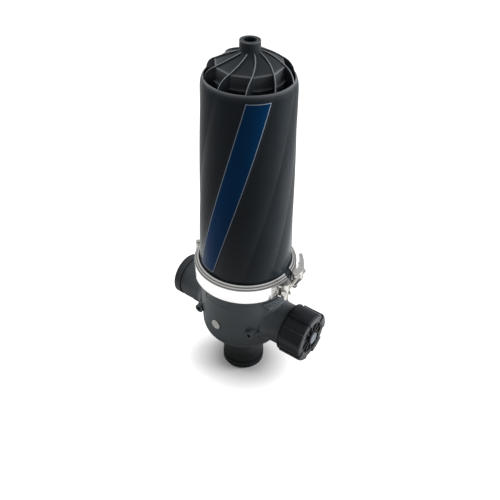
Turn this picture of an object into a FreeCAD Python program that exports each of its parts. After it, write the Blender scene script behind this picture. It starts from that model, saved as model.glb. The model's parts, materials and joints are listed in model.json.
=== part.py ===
import FreeCAD, Part
import math
import os

V = FreeCAD.Vector

# Disc filter for a 3 inch irrigation line: a T-shaped base, a tall ribbed cover, a quick-release
# V-band clamp, and inside a helix ring with a stack of grooved discs on a spindle.
# Millimetres and degrees. Origin: centre of the bottom port's end face. +X: capped port.

# Ports, grooved ends of 3 inch pipe
PORT_OD = 88.9
PORT_WALL = 6.95
LIP_LENGTH = 15.88
GROOVE_WIDTH = 7.95
GROOVE_DEPTH = 1.98
PIPE_RELIEF = 0.75
PORT_HEIGHT = 158.2
PORT_STANDOFF = 70.0
SEAM_FROM_END = 50.0
SEAM_STEP = 1.1
END_CHAMFER = 1.5

# Base bowl
COLLAR_STEP = 1.1
COLLAR_LENGTH = 15.0
COLLAR_DROP = 11.5
FOOT_FLARE = 7.2
FOOT_DROP = 68.7
CORNER_DROP = 31.2
BOWL_DRAFT = 3.8
BOWL_INSET = 10.4
BASE_WALL = 6.0
STANDPIPE_WALL = 5.5
STANDPIPE_DROP = 39.2

# Joint between base and cover, with its V-band
JOINT_RISE = 109.0
BAND_RADIUS = 101.4
BAND_HALF_HEIGHT = 16.2
BAND_SHEET = 2.0
LIP_SLOPE = 40.0
LIP_RUN = 8.8
BEAD_WIDTH = 3.6
BEAD_RISE = 0.8
BAND_CLEARANCE = 0.3
FLANGE_INSET = 1.0
SEAL_OFFSET = 0.5
SEAL_SECTION = 5.3
SEAL_SQUEEZE = 0.8

# Cover
OVERALL_HEIGHT = 725.5
NOZZLE_LENGTH = 19.0
DOME_RISE = 19.0
DOME_WALL = 20.5
SHOULDER_DROP = 20.0
MOAT_DEPTH = 27.0
FOOT_INSET = 0.4
COVER_TAPER = 0.0258
RIM_INSET = 3.7
COVER_WALL = 5.0
PANELS = 10
PANEL_DIP = 1.2
PANEL_TWIST = 0.192
CREASE_AZIMUTH = 13.6
RIM_SHEET = 2.0
MOAT_WIDTH = 13.4
LEDGE_WIDTH = 3.0
DOME_VERTEX_AZIMUTH = -12.9
RIB_START_AZIMUTH = 3.6
RIB_SWEEP = 26.0
RIB_WIDTH = 3.0
RIB_RISE = 2.4
RIB_BULGE = 3.4
DOME_BULGE = 1.6
NOZZLE_RADIUS = 17.4
NOZZLE_BORE = 21.0
NOZZLE_FOOT = 1.6
LABEL_SHARE = 0.7728
LABEL_MARGIN = 4.4
LABEL_RISE = 30.8
LABEL_DROP = 11.0
LABEL_SHEET = 0.5
LABEL_GAP = 0.15

# Disc element inside
DISC_ROOM = 20.0
DISC_WIDTH = 19.0
DISC_PACKS = 8
PRESS_TRAVEL = 6.0
ROOF_CLEARANCE = 4.0
PACK_GROOVE = 1.2
SPINDLE_RIBS = 6
SPINDLE_RIB = 3.0
SPINDLE_CORE = 20.0
STUD_DIAMETER = 12.0
STUD_LENGTH = 40.0
PLATE_THICKNESS = 6.0
WASHER_SHEET = 2.0
KNOB_HUB = 30.0
KNOB_SPAN = 68.0
KNOB_HEIGHT = 26.0
KNOB_WINGS = 4
SOCKET_DEPTH = 22.0
SOCKET_WALL = 6.0
HELIX_BLADES = 12
HELIX_HEIGHT = 26.0
HELIX_CLEARANCE = 2.0
BLADE_SHEET = 3.0
BLADE_SLANT = 35.0
RUNNING_FIT = 0.05
LOOSE_FIT = 0.3

# Hand nut and plug on the capped port
THREAD_STEP = 1.55
THREAD_LENGTH = 34.0
THREAD_WALL = 10.0
NUT_SKIRT = 39.2
NUT_LIP = 10.8
NUT_LOBES = 5
NUT_WALL = 2.8
NUT_LOBE_RISE = 3.4
NUT_NOTCH = 2.0
NUT_NOTCH_ANGLE = 25.0
NUT_LOBE_ANGLE = 41.0
NUT_LOBE_PHASE = 67.5
NUT_SHOULDER = 4.0
NUT_FACE_WIDTH = 13.0
NUT_RIM_WIDTH = 3.0
PLUG_SHEET = 4.0
PLUG_SPIGOT = 14.0
PLUG_HUB_RADIUS = 12.0
PLUG_HUB_LENGTH = 13.8
HUB_CAP = 3.0
PLUG_RIBS = 10
PORT_SEAL_SHEET = 2.0

# Pressure taps, badge, patch and gussets on the base
TAP_SHARE = 0.734
TAP_RADIUS = 9.2
TAP_DROP = 14.2
TAP_BORE = 9.2
TAP_SOCKET = 5.0
TAP_WEB = 5.0
BADGE_RADIUS = 10.0
BADGE_AZIMUTH = -94.0
BADGE_RISE = 2.8
BADGE_SHEET = 1.0
PATCH_AZIMUTHS = (-112.0, -72.0)
PATCH_DROPS = (47.2, 29.2)
PATCH_DEPTH = 0.8
GUSSET_COUNT = 4
GUSSET_DROP = 32.2
GUSSET_PITCH = 6.3
GUSSET_SHEET = 2.4
GUSSET_REACH = 4.0
GUSSET_HALF_ANGLE = 32.0

# Clamp closure, azimuths from +X, heights from the joint plane
HINGE_AZIMUTH = 190.0
HINGE_LIFT = 5.8
HINGE_PIN = 6.0
KNUCKLE_RADIUS = 5.5
KNUCKLE_HALF_HEIGHT = 15.0
FRONT_END = -1.0
BACK_END = 10.0
HINGE_GAP = 1.5
CROSSHEAD_AZIMUTH = -10.6
CROSSHEAD_LIFT = 11.6
CROSSHEAD_RADIUS = 5.0
CROSSHEAD_HALF_HEIGHT = 19.0
TRUNNION_AZIMUTH = 19.9
TRUNNION_LIFT = 10.1
TRUNNION_RADIUS = 5.5
TRUNNION_PIN = 7.0
PIVOT_SPAN = 21.0
PIVOT_PIN = 6.0
BOLT_DIAMETER = 8.0
BOLT_OVERRUN = 16.0
NUT_FLATS = 13.0
NUT_HEIGHT = 6.5
LEVER_INNER = 10.0
LEVER_SHEET = 2.5
LEVER_NOSE = 4.5
LEVER_LIFT = 14.0
LEVER_SWELL = 2.6
LEVER_TIP_AZIMUTH = 44.5
LEVER_WEB_AZIMUTH = 31.0
LEVER_TIP_LIFT = 6.6
PLATE_SHEET = 2.5
PLATE_GAP = 0.5
STRAP_SHEET = 1.4
HORN_HEIGHTS = (10.0, 14.0)
HORN_FLARE = 38.0
RIVET_RADIUS = 2.4
RIVET_HEIGHT = 1.2


def rad(angle):
    return math.radians(angle)


def polar(radius, azimuth, height=0.0):
    return V(radius * math.cos(rad(azimuth)), radius * math.sin(rad(azimuth)), height)


def outline(start, steps):
    """Closed wire from a start point; a step is a point, or a pair (through, end) for an arc."""
    edges = []
    here = start
    for step in steps + [start]:
        if isinstance(step, tuple):
            edges.append(Part.Arc(here, step[0], step[1]).toShape())
            here = step[1]
        else:
            if here.distanceToPoint(step) > 1e-6:
                edges.append(Part.LineSegment(here, step).toShape())
            here = step
    return Part.Wire(edges)


def profile(points):
    """Face in the XZ plane from (radius, height) points; a pair of them is an arc."""
    def place(item):
        if isinstance(item[0], tuple):
            return (V(item[0][0], 0, item[0][1]), V(item[1][0], 0, item[1][1]))
        return V(item[0], 0, item[1])
    steps = [place(item) for item in points]
    return Part.Face(outline(steps[0], steps[1:]))


def spin(points):
    """Solid of revolution about Z."""
    return profile(points).revolve(V(0, 0, 0), V(0, 0, 1), 360)


def tube(inner, outer, bottom, top):
    return spin([(inner, bottom), (outer, bottom), (outer, top), (inner, top)])


def disc(radius, bottom, top, x=0.0, y=0.0):
    return Part.makeCylinder(radius, top - bottom, V(x, y, bottom))


def plate(points, bottom, top):
    """Plan outline made into a slab; a step may be an arc pair."""
    lifted = []
    for item in points:
        if isinstance(item, tuple):
            lifted.append((V(item[0].x, item[0].y, bottom), V(item[1].x, item[1].y, bottom)))
        else:
            lifted.append(V(item.x, item.y, bottom))
    face = Part.Face(outline(lifted[0], lifted[1:]))
    return face.extrude(V(0, 0, top - bottom))


def sector(inner, outer, bottom, top, start, end):
    """Piece of a tube between two azimuths."""
    block = Part.makeCylinder(outer, top - bottom, V(0, 0, bottom), V(0, 0, 1), end - start)
    block = block.cut(Part.makeCylinder(inner, top - bottom, V(0, 0, bottom)))
    block.rotate(V(0, 0, 0), V(0, 0, 1), start)
    return block


def to_port(shape, side):
    """Turns a body of revolution about Z into one about the side ports' axis."""
    turned = shape.copy()
    turned.rotate(V(0, 0, 0), V(0, 1, 0), 90.0 * side)
    turned.translate(V(0, 0, PORT_HEIGHT))
    return turned


def fuse_all(shapes):
    return shapes[0].multiFuse(shapes[1:]).removeSplitter()


PORT_RADIUS = PORT_OD / 2
PORT_BORE = PORT_RADIUS - PORT_WALL
THREAD_RADIUS = PORT_RADIUS + THREAD_STEP
CAPPED_BORE = THREAD_RADIUS - THREAD_WALL
GROOVE_RADIUS = PORT_RADIUS - GROOVE_DEPTH
PIPE_RADIUS = PORT_RADIUS - PIPE_RELIEF
COLLAR_RADIUS = PIPE_RADIUS + COLLAR_STEP
GROOVE_END = LIP_LENGTH + GROOVE_WIDTH
STANDPIPE_RADIUS = PORT_BORE + STANDPIPE_WALL

JOINT_HEIGHT = PORT_HEIGHT + JOINT_RISE
BOWL_FOOT_RADIUS = COLLAR_RADIUS + FOOT_FLARE
BOWL_FOOT_HEIGHT = PORT_HEIGHT - FOOT_DROP
COLLAR_TOP = BOWL_FOOT_HEIGHT - COLLAR_DROP
COLLAR_START = COLLAR_TOP - COLLAR_LENGTH
BOWL_TOP_RADIUS = BAND_RADIUS - BOWL_INSET
BOWL_CORNER_RADIUS = BOWL_TOP_RADIUS - BOWL_DRAFT
BOWL_CORNER_HEIGHT = PORT_HEIGHT - CORNER_DROP
PORT_REACH = BOWL_CORNER_RADIUS + PORT_STANDOFF
STANDPIPE_TOP = JOINT_HEIGHT - STANDPIPE_DROP
CAVITY_RADIUS = BOWL_TOP_RADIUS - BASE_WALL
SEAL_RADIUS = BOWL_TOP_RADIUS + SEAL_OFFSET

DOME_TOP_HEIGHT = OVERALL_HEIGHT - NOZZLE_LENGTH
DOME_EDGE_HEIGHT = DOME_TOP_HEIGHT - DOME_RISE
RIM_HEIGHT = DOME_EDGE_HEIGHT - DOME_WALL
SHOULDER_HEIGHT = RIM_HEIGHT - SHOULDER_DROP
MOAT_FLOOR = RIM_HEIGHT - MOAT_DEPTH
COVER_FOOT_RADIUS = BOWL_TOP_RADIUS - FOOT_INSET
RIM_RADIUS = COVER_FOOT_RADIUS - COVER_TAPER * (RIM_HEIGHT - JOINT_HEIGHT) - RIM_INSET
MOAT_RADIUS = RIM_RADIUS - RIM_SHEET
LEDGE_RADIUS = MOAT_RADIUS - MOAT_WIDTH
DOME_VERTEX_RADIUS = LEDGE_RADIUS - LEDGE_WIDTH
DOME_TOP_RADIUS = NOZZLE_RADIUS + NOZZLE_FOOT
LABEL_WIDTH = LABEL_SHARE * COVER_FOOT_RADIUS * 2 * math.pi / PANELS
LABEL_BOTTOM = JOINT_HEIGHT + LABEL_RISE
LABEL_TOP = RIM_HEIGHT - LABEL_DROP

NUT_START = PORT_REACH - NUT_SKIRT
NUT_END = PORT_REACH + NUT_LIP
NUT_WAIST_RADIUS = THREAD_RADIUS + NUT_WALL
NUT_LOBE_RADIUS = NUT_WAIST_RADIUS + NUT_LOBE_RISE
NUT_WINDOW = THREAD_RADIUS - NUT_FACE_WIDTH
PLUG_HUB_END = PORT_REACH + PLUG_HUB_LENGTH
TAP_OFFSET = TAP_SHARE * BOWL_CORNER_RADIUS
TAP_ROOT = math.sqrt((BOWL_CORNER_RADIUS - BASE_WALL) ** 2 - TAP_OFFSET ** 2)
TAP_TIP = BOWL_CORNER_RADIUS - TAP_DROP
BADGE_HEIGHT = PORT_HEIGHT + BADGE_RISE
PATCH_HEIGHTS = [JOINT_HEIGHT - drop for drop in PATCH_DROPS]
GUSSET_TOP = JOINT_HEIGHT - GUSSET_DROP
GUSSET_RADIUS = BOWL_TOP_RADIUS + GUSSET_REACH
HINGE_RADIUS = BAND_RADIUS + HINGE_LIFT
CROSSHEAD_ARM = BAND_RADIUS + CROSSHEAD_LIFT
TRUNNION_ARM = BAND_RADIUS + TRUNNION_LIFT
LEVER_OUTER_RADIUS = BAND_RADIUS + LEVER_LIFT
LEVER_TIP_INNER = BAND_RADIUS + LEVER_TIP_LIFT

LIP_DROP = LIP_RUN * math.tan(rad(LIP_SLOPE))
LIP_EDGE = BAND_RADIUS - LIP_RUN
LIP_NORMAL = (math.sin(rad(LIP_SLOPE)), math.cos(rad(LIP_SLOPE)))
INNER_LIP_EDGE = LIP_EDGE - BAND_SHEET * LIP_NORMAL[0]
INNER_LIP_HEIGHT = BAND_HALF_HEIGHT + LIP_DROP - BAND_SHEET * LIP_NORMAL[1]
FLANGE_RADIUS = BAND_RADIUS - BAND_SHEET - FLANGE_INSET


def lip_height(radius):
    """Height of the lip's inner face above the joint plane at a radius."""
    return INNER_LIP_HEIGHT - (radius - INNER_LIP_EDGE) * math.tan(rad(LIP_SLOPE))


def flange_height(radius):
    return lip_height(radius) - BAND_CLEARANCE / LIP_NORMAL[1]


def grooved_end():
    """Outer solid of a grooved pipe end along +Z from the end face, chamfered at the lip."""
    return [
        (0.0, 0.0), (PORT_RADIUS - END_CHAMFER, 0.0), (PORT_RADIUS, END_CHAMFER),
        (PORT_RADIUS, LIP_LENGTH), (GROOVE_RADIUS, LIP_LENGTH), (GROOVE_RADIUS, GROOVE_END),
    ]


def bowl_outside():
    top = JOINT_HEIGHT
    root = JOINT_HEIGHT - flange_height(BOWL_TOP_RADIUS)
    rise = BOWL_FOOT_HEIGHT - COLLAR_TOP
    points = grooved_end() + [
        (PIPE_RADIUS, GROOVE_END), (PIPE_RADIUS, COLLAR_START),
        (COLLAR_RADIUS, COLLAR_START), (COLLAR_RADIUS, COLLAR_TOP),
        ((COLLAR_RADIUS + 2.0, COLLAR_TOP + 0.65 * rise), (BOWL_FOOT_RADIUS, BOWL_FOOT_HEIGHT)),
        (BOWL_FOOT_RADIUS + 8.0, BOWL_FOOT_HEIGHT + 3.5),
        ((BOWL_CORNER_RADIUS - 9.2, BOWL_CORNER_HEIGHT - 23.0), (BOWL_CORNER_RADIUS, BOWL_CORNER_HEIGHT)),
        (BOWL_TOP_RADIUS, root),
        (FLANGE_RADIUS, JOINT_HEIGHT - flange_height(FLANGE_RADIUS)),
        (FLANGE_RADIUS, top), (0.0, top),
    ]
    return spin(points)


def bowl_inside():
    wall = BASE_WALL
    over = JOINT_HEIGHT + 1.0
    return spin([
        (STANDPIPE_RADIUS, BOWL_FOOT_HEIGHT + wall), (BOWL_FOOT_RADIUS - 2.0, BOWL_FOOT_HEIGHT + wall),
        (BOWL_FOOT_RADIUS + 5.6, BOWL_FOOT_HEIGHT + 3.5 + wall * 0.92),
        ((BOWL_CORNER_RADIUS - 9.2 - 0.6 * wall, BOWL_CORNER_HEIGHT - 23.0 + 0.8 * wall),
         (BOWL_CORNER_RADIUS - wall, BOWL_CORNER_HEIGHT + 1.5)),
        (CAVITY_RADIUS, JOINT_HEIGHT - flange_height(BOWL_TOP_RADIUS)), (CAVITY_RADIUS, over),
        (0.0, over), (0.0, STANDPIPE_TOP), (STANDPIPE_RADIUS, STANDPIPE_TOP),
    ])


def bowl_radius(height):
    """Outer radius of the bowl's wall above its corner."""
    root = JOINT_HEIGHT - flange_height(BOWL_TOP_RADIUS)
    share = (height - BOWL_CORNER_HEIGHT) / (root - BOWL_CORNER_HEIGHT)
    return BOWL_CORNER_RADIUS + share * (BOWL_TOP_RADIUS - BOWL_CORNER_RADIUS)


def neck(points):
    """Side pipe measured from the port's end face, with a flare where it meets the bowl."""
    flare_start = PORT_REACH - BOWL_CORNER_RADIUS - 6.0
    flare_end = PORT_REACH - BOWL_CORNER_RADIUS + 12.0
    flare = 9.0
    last = points[-1][0]
    points = points + [
        (last, flare_start),
        ((last + 0.25 * flare, flare_start + 10.0), (last + flare, flare_end)),
        (last + flare, PORT_REACH - 60.0), (0.0, PORT_REACH - 60.0),
    ]
    shape = spin(points)
    shape.rotate(V(0, 0, 0), V(1, 0, 0), 180)
    shape.translate(V(0, 0, PORT_REACH))
    return shape


def open_neck():
    return to_port(neck(grooved_end() + [
        (PORT_RADIUS, GROOVE_END), (PORT_RADIUS, SEAM_FROM_END),
        (PORT_RADIUS + SEAM_STEP, SEAM_FROM_END),
    ]), -1)


def capped_neck():
    return to_port(neck([
        (0.0, 0.0), (THREAD_RADIUS - END_CHAMFER, 0.0), (THREAD_RADIUS, END_CHAMFER),
        (THREAD_RADIUS, THREAD_LENGTH), (PIPE_RADIUS, THREAD_LENGTH + 1.5),
    ]), 1)


def port_bore(side, radius):
    return to_port(disc(radius, PORT_REACH - 90.0, PORT_REACH + 1.0), side)


def tap_tube(side):
    """Pressure tap that stands out of the bowl beside a side port, with its web."""
    x = side * TAP_OFFSET
    stem = Part.makeCylinder(TAP_RADIUS, TAP_TIP - TAP_ROOT, V(x, -TAP_ROOT, PORT_HEIGHT), V(0, -1, 0))
    half = TAP_WEB / 2
    reach = TAP_OFFSET + TAP_RADIUS + 6.0
    web = plate([V(x, -TAP_ROOT - 6.0), V(x, 4.0 - TAP_TIP), V(side * (TAP_OFFSET + TAP_RADIUS + 1.0), 10.0 - TAP_TIP),
                 V(side * reach, 4.0 - TAP_ROOT), V(side * reach, 12.0 - TAP_ROOT)],
                PORT_HEIGHT - half, PORT_HEIGHT + half)
    return stem.fuse(web)


def tap_bore(side):
    root = TAP_ROOT - 4.0
    return Part.makeCylinder(TAP_BORE / 2, TAP_TIP - root, V(side * TAP_OFFSET, -root, PORT_HEIGHT), V(0, -1, 0))


def gussets(side):
    """Curved fins between the flange and a side port's neck."""
    fins = []
    middle = 0.0 if side > 0 else 180.0
    for index in range(GUSSET_COUNT):
        top = GUSSET_TOP - index * GUSSET_PITCH
        reach = GUSSET_HALF_ANGLE - 3.0 * index
        inner = bowl_radius(top) - 2.0
        fins.append(sector(inner, GUSSET_RADIUS - 0.6 * index, top - GUSSET_SHEET, top,
                           middle - reach, middle + reach))
    return fins


def badge_seat():
    return bowl_radius(BADGE_HEIGHT) + 1.0


def badge_boss():
    start = polar(badge_seat() - 10.0, BADGE_AZIMUTH, BADGE_HEIGHT)
    return Part.makeCylinder(BADGE_RADIUS + 1.5, 10.0, start, polar(1, BADGE_AZIMUTH))


def patch_cut():
    bottom, top = PATCH_HEIGHTS
    start, end = PATCH_AZIMUTHS
    floor = bowl_radius((bottom + top) / 2) - PATCH_DEPTH
    return sector(floor, GUSSET_RADIUS + 10.0, bottom, top, start, end)


def seal_groove():
    depth = SEAL_SECTION - SEAL_SQUEEZE
    half = SEAL_SECTION / 2 + LOOSE_FIT
    return tube(SEAL_RADIUS - half, SEAL_RADIUS + half, JOINT_HEIGHT - depth, JOINT_HEIGHT + 1.0)


def base_body():
    adds = [bowl_outside(), open_neck(), capped_neck(), tap_tube(1), tap_tube(-1), badge_boss()]
    adds = adds + gussets(1) + gussets(-1)
    body = fuse_all(adds)
    cuts = [bowl_inside(), disc(PORT_BORE, -1.0, STANDPIPE_TOP + 1.0),
            port_bore(1, CAPPED_BORE), port_bore(-1, PORT_BORE),
            tap_bore(1), tap_bore(-1), patch_cut(), seal_groove()]
    for tool in cuts:
        body = body.cut(tool)
    return body


def cover_seal():
    """O-ring squeezed flat between the two flanges."""
    half = SEAL_SECTION / 2
    low = JOINT_HEIGHT - SEAL_SECTION + SEAL_SQUEEZE
    inner, outer = SEAL_RADIUS - half + 1.2, SEAL_RADIUS + half - 1.2
    middle = (low + JOINT_HEIGHT) / 2
    return spin([(inner, low), (outer, low), ((SEAL_RADIUS + half, middle), (outer, JOINT_HEIGHT)),
                 (inner, JOINT_HEIGHT), ((SEAL_RADIUS - half, middle), (inner, low))])


def cover_radius(height):
    return COVER_FOOT_RADIUS - COVER_TAPER * (height - cover_foot())


def cover_foot():
    return JOINT_HEIGHT + flange_height(BOWL_TOP_RADIUS)


def lobe_circle(height):
    """Radius of a panel's own arc and the distance of that arc's centre from the axis."""
    outer = cover_radius(height)
    valley = outer - PANEL_DIP
    half_pitch = rad(180.0 / PANELS)
    half_chord = valley * math.sin(half_pitch)
    sagitta = outer - valley * math.cos(half_pitch)
    own = (half_chord ** 2 + sagitta ** 2) / (2 * sagitta)
    return own, outer - own


def crease_azimuth(height, index=0):
    return CREASE_AZIMUTH + index * 360.0 / PANELS - PANEL_TWIST * (RIM_HEIGHT - height)


def lobed_wire(height):
    """Section of the cover: shallow convex panels that meet at creases."""
    outer = cover_radius(height)
    edges = []
    for index in range(PANELS):
        start = crease_azimuth(height, index)
        middle = start + 180.0 / PANELS
        end = start + 360.0 / PANELS
        edges.append(Part.Arc(polar(outer - PANEL_DIP, start, height), polar(outer, middle, height),
                              polar(outer - PANEL_DIP, end, height)).toShape())
    return Part.Wire(edges)


def spaced(start, end, count):
    return [start + (end - start) * index / (count - 1) for index in range(count)]


def cover_shell():
    """Twisted panels, rounded into the rim and closed by the flange."""
    levels = spaced(cover_foot() - 4.0, RIM_HEIGHT + 8.0, 9)
    twisted = Part.makeLoft([lobed_wire(level) for level in levels], True, False)
    shoulder = cover_radius(SHOULDER_HEIGHT) + 0.1
    bulge = (shoulder - 0.8, SHOULDER_HEIGHT + 0.6 * (RIM_HEIGHT - SHOULDER_HEIGHT))
    envelope = spin([(0.0, cover_foot() - 5.0), (COVER_FOOT_RADIUS + 2.0, cover_foot() - 5.0),
                     (shoulder, SHOULDER_HEIGHT), (bulge, (RIM_RADIUS, RIM_HEIGHT)),
                     (0.0, RIM_HEIGHT)])
    flange = spin([(0.0, JOINT_HEIGHT), (FLANGE_RADIUS, JOINT_HEIGHT),
                   (FLANGE_RADIUS, JOINT_HEIGHT + flange_height(FLANGE_RADIUS)),
                   (BOWL_TOP_RADIUS, cover_foot()), (0.0, cover_foot())])
    return twisted.common(envelope).fuse(flange)


def moat():
    return tube(LEDGE_RADIUS, MOAT_RADIUS, MOAT_FLOOR, RIM_HEIGHT + 1.0)


def dome():
    """Faceted crown: an upright prism of flats under a shallow cone."""
    vertices = [polar(DOME_VERTEX_RADIUS, DOME_VERTEX_AZIMUTH + 360.0 / PANELS * index, MOAT_FLOOR)
                for index in range(PANELS)]
    prism = Part.Face(Part.makePolygon(vertices + [vertices[0]]))
    prism = prism.extrude(V(0, 0, OVERALL_HEIGHT - MOAT_FLOOR))
    outside = DOME_VERTEX_RADIUS + 1.0
    cone = spin([(0.0, MOAT_FLOOR), (outside, MOAT_FLOOR), (outside, dome_height(outside)),
                 (dome_middle(0.0), (DOME_TOP_RADIUS, DOME_TOP_HEIGHT)), (0.0, DOME_TOP_HEIGHT)])
    return prism.common(cone)


def dome_height(radius):
    slope = (DOME_TOP_HEIGHT - DOME_EDGE_HEIGHT) / (DOME_VERTEX_RADIUS - DOME_TOP_RADIUS)
    return DOME_TOP_HEIGHT - slope * (radius - DOME_TOP_RADIUS)


def dome_middle(rise):
    """Point half way up the crown's rounded outline, raised by the ribs' rise or by nothing."""
    radius = (DOME_VERTEX_RADIUS + DOME_TOP_RADIUS) / 2
    return (radius, dome_height(radius) + DOME_BULGE + rise)


def rib_azimuth(radius):
    share = (radius - DOME_TOP_RADIUS) / (RIM_RADIUS - DOME_TOP_RADIUS)
    return RIB_START_AZIMUTH - RIB_SWEEP * share


def rib_strip():
    """One spiral rib in plan, as a slab of even width from the moat's floor up."""
    radii = spaced(NOZZLE_RADIUS - 2.0, RIM_RADIUS + 1.0, 7)
    path = [polar(radius, rib_azimuth(radius), MOAT_FLOOR - 1.0) for radius in radii]
    sides = []
    for hand in (1, -1):
        shifted = []
        for index, point in enumerate(path):
            before = path[max(index - 1, 0)]
            after = path[min(index + 1, len(path) - 1)]
            along = (after - before).normalize()
            shifted.append(point + V(-along.y, along.x, 0) * (hand * RIB_WIDTH / 2))
        sides.append(shifted)
    curves = []
    for side in sides:
        curve = Part.BSplineCurve()
        curve.interpolate(side)
        curves.append(curve.toShape())
    ends = [Part.LineSegment(sides[0][0], sides[1][0]).toShape(),
            Part.LineSegment(sides[0][-1], sides[1][-1]).toShape()]
    wire = Part.Wire(Part.__sortEdges__(curves + ends))
    return Part.Face(wire).extrude(V(0, 0, OVERALL_HEIGHT - MOAT_FLOOR))


def rib_ring():
    """All ribs, cut to their common upper outline, which arches over the moat."""
    outer = V(RIM_RADIUS - 0.6, 0, RIM_HEIGHT + 0.6)
    inner = V(DOME_VERTEX_RADIUS, 0, dome_height(DOME_VERTEX_RADIUS) + RIB_RISE)
    across = (inner - outer).normalize()
    crest = (inner + outer) * 0.5 + V(across.z, 0, -across.x) * RIB_BULGE
    limit = spin([(0.0, MOAT_FLOOR - 0.5), (outer.x, MOAT_FLOOR - 0.5), (outer.x, outer.z),
                  ((crest.x, crest.z), (inner.x, inner.z)),
                  (dome_middle(RIB_RISE), (DOME_TOP_RADIUS, DOME_TOP_HEIGHT + RIB_RISE)),
                  (0.0, DOME_TOP_HEIGHT + RIB_RISE)])
    rib = rib_strip().common(limit)
    ribs = []
    for index in range(PANELS):
        copy = rib.copy()
        copy.rotate(V(0, 0, 0), V(0, 0, 1), index * 360.0 / PANELS)
        ribs.append(copy)
    return ribs


def cover_cavity():
    """Inside of the cover: a tapered barrel, a step under the moat and a dome under the crown."""
    wall = COVER_WALL
    roof = MOAT_FLOOR - wall
    inner = DOME_VERTEX_RADIUS * math.cos(math.pi / PANELS) - wall
    return spin([
        (0.0, JOINT_HEIGHT - 1.0), (CAVITY_RADIUS, JOINT_HEIGHT - 1.0),
        (CAVITY_RADIUS, cover_foot()), (cover_radius(roof) - PANEL_DIP - wall, roof),
        (inner, roof), (inner, dome_height(inner) - wall - 1.0),
        (NOZZLE_BORE / 2, dome_height(NOZZLE_BORE / 2) - wall - 1.0),
        (NOZZLE_BORE / 2, OVERALL_HEIGHT + 1.0), (0.0, OVERALL_HEIGHT + 1.0),
    ])


def nozzle():
    foot = dome_height(DOME_TOP_RADIUS) - 3.0
    return spin([(0.0, foot), (NOZZLE_RADIUS + 2.5, foot), (NOZZLE_RADIUS + 1.6, DOME_TOP_HEIGHT + 1.5),
                 (NOZZLE_RADIUS, DOME_TOP_HEIGHT + 3.5), (NOZZLE_RADIUS, OVERALL_HEIGHT - 1.0),
                 (NOZZLE_RADIUS - 1.0, OVERALL_HEIGHT), (0.0, OVERALL_HEIGHT)])


def cover():
    shell = cover_shell().cut(moat())
    shell = fuse_all([shell, dome(), nozzle()] + rib_ring())
    return shell.cut(cover_cavity())


def label_wire(height):
    """Section of the sticker: two arcs parallel to the panel that carries it."""
    own, offset = lobe_circle(height)
    panel_middle = crease_azimuth(height, -2) + 180.0 / PANELS
    centre = polar(offset, panel_middle, height)
    scale = 180.0 / math.pi / own
    half_panel = (cover_radius(height) - PANEL_DIP) * math.sin(rad(180.0 / PANELS))
    right = math.degrees(math.asin(half_panel / own)) - LABEL_MARGIN * scale
    left = right - LABEL_WIDTH * scale
    inner = own + LABEL_GAP
    outer = inner + LABEL_SHEET

    def at(radius, share):
        return centre + polar(radius, panel_middle + left + (right - left) * share)
    return outline(at(inner, 0), [(at(inner, 0.5), at(inner, 1)), at(outer, 1),
                                  (at(outer, 0.5), at(outer, 0))])


def label():
    levels = spaced(LABEL_BOTTOM, LABEL_TOP, 9)
    return Part.makeLoft([label_wire(level) for level in levels], True, False)


def badge():
    start = polar(badge_seat(), BADGE_AZIMUTH, BADGE_HEIGHT)
    return Part.makeCylinder(BADGE_RADIUS, BADGE_SHEET, start, polar(1, BADGE_AZIMUTH))


def hexagon(flats, centre, axis, length):
    """Hexagonal prism along an axis, measured across its flats."""
    corner = flats / math.sqrt(3)
    points = [polar(corner, 60.0 * index) for index in range(7)]
    prism = Part.Face(Part.makePolygon(points)).extrude(V(0, 0, length))
    prism.Placement = FreeCAD.Placement(centre, FreeCAD.Rotation(V(0, 0, 1), axis))
    return prism


def tap_plug(side):
    x = side * TAP_OFFSET
    length = 9.0
    start = V(x, 2.0 + length - TAP_TIP, PORT_HEIGHT)
    body = Part.makeCylinder(TAP_BORE / 2 - RUNNING_FIT, length, start, V(0, -1, 0))
    key = hexagon(TAP_SOCKET, start + V(0, -4.0, 0), V(0, -1, 0), length)
    return body.cut(key)


STACK_BOTTOM = STANDPIPE_TOP + 2 * PLATE_THICKNESS
STACK_TOP = MOAT_FLOOR - COVER_WALL - ROOF_CLEARANCE - PRESS_TRAVEL - PLATE_THICKNESS
SOCKET_RADIUS = STANDPIPE_RADIUS + LOOSE_FIT + SOCKET_WALL
DISC_RADIUS = CAVITY_RADIUS - DISC_ROOM
DISC_BORE = DISC_RADIUS - DISC_WIDTH
PLATE_TOP = STACK_TOP + PLATE_THICKNESS


def element_socket():
    """Collar that slips over the standpipe and carries the element."""
    low = STANDPIPE_TOP - SOCKET_DEPTH
    inner = STANDPIPE_RADIUS + LOOSE_FIT
    groove = low + SOCKET_DEPTH / 2
    collar = spin([(inner, low), (SOCKET_RADIUS, low), (SOCKET_RADIUS, STANDPIPE_TOP),
                   (DISC_RADIUS, STANDPIPE_TOP), (DISC_RADIUS, STANDPIPE_TOP + PLATE_THICKNESS),
                   (PORT_BORE - 4.0, STANDPIPE_TOP + PLATE_THICKNESS), (PORT_BORE - 4.0, STANDPIPE_TOP),
                   (inner, STANDPIPE_TOP)])
    return collar.cut(tube(inner - 1.0, inner + 3.0, groove - 2.0, groove + 2.0))


def element_seal():
    middle = STANDPIPE_TOP - SOCKET_DEPTH / 2
    inner = STANDPIPE_RADIUS + RUNNING_FIT
    outer = STANDPIPE_RADIUS + LOOSE_FIT + 2.9
    return tube(inner, outer, middle - 1.9, middle + 1.9)


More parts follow.
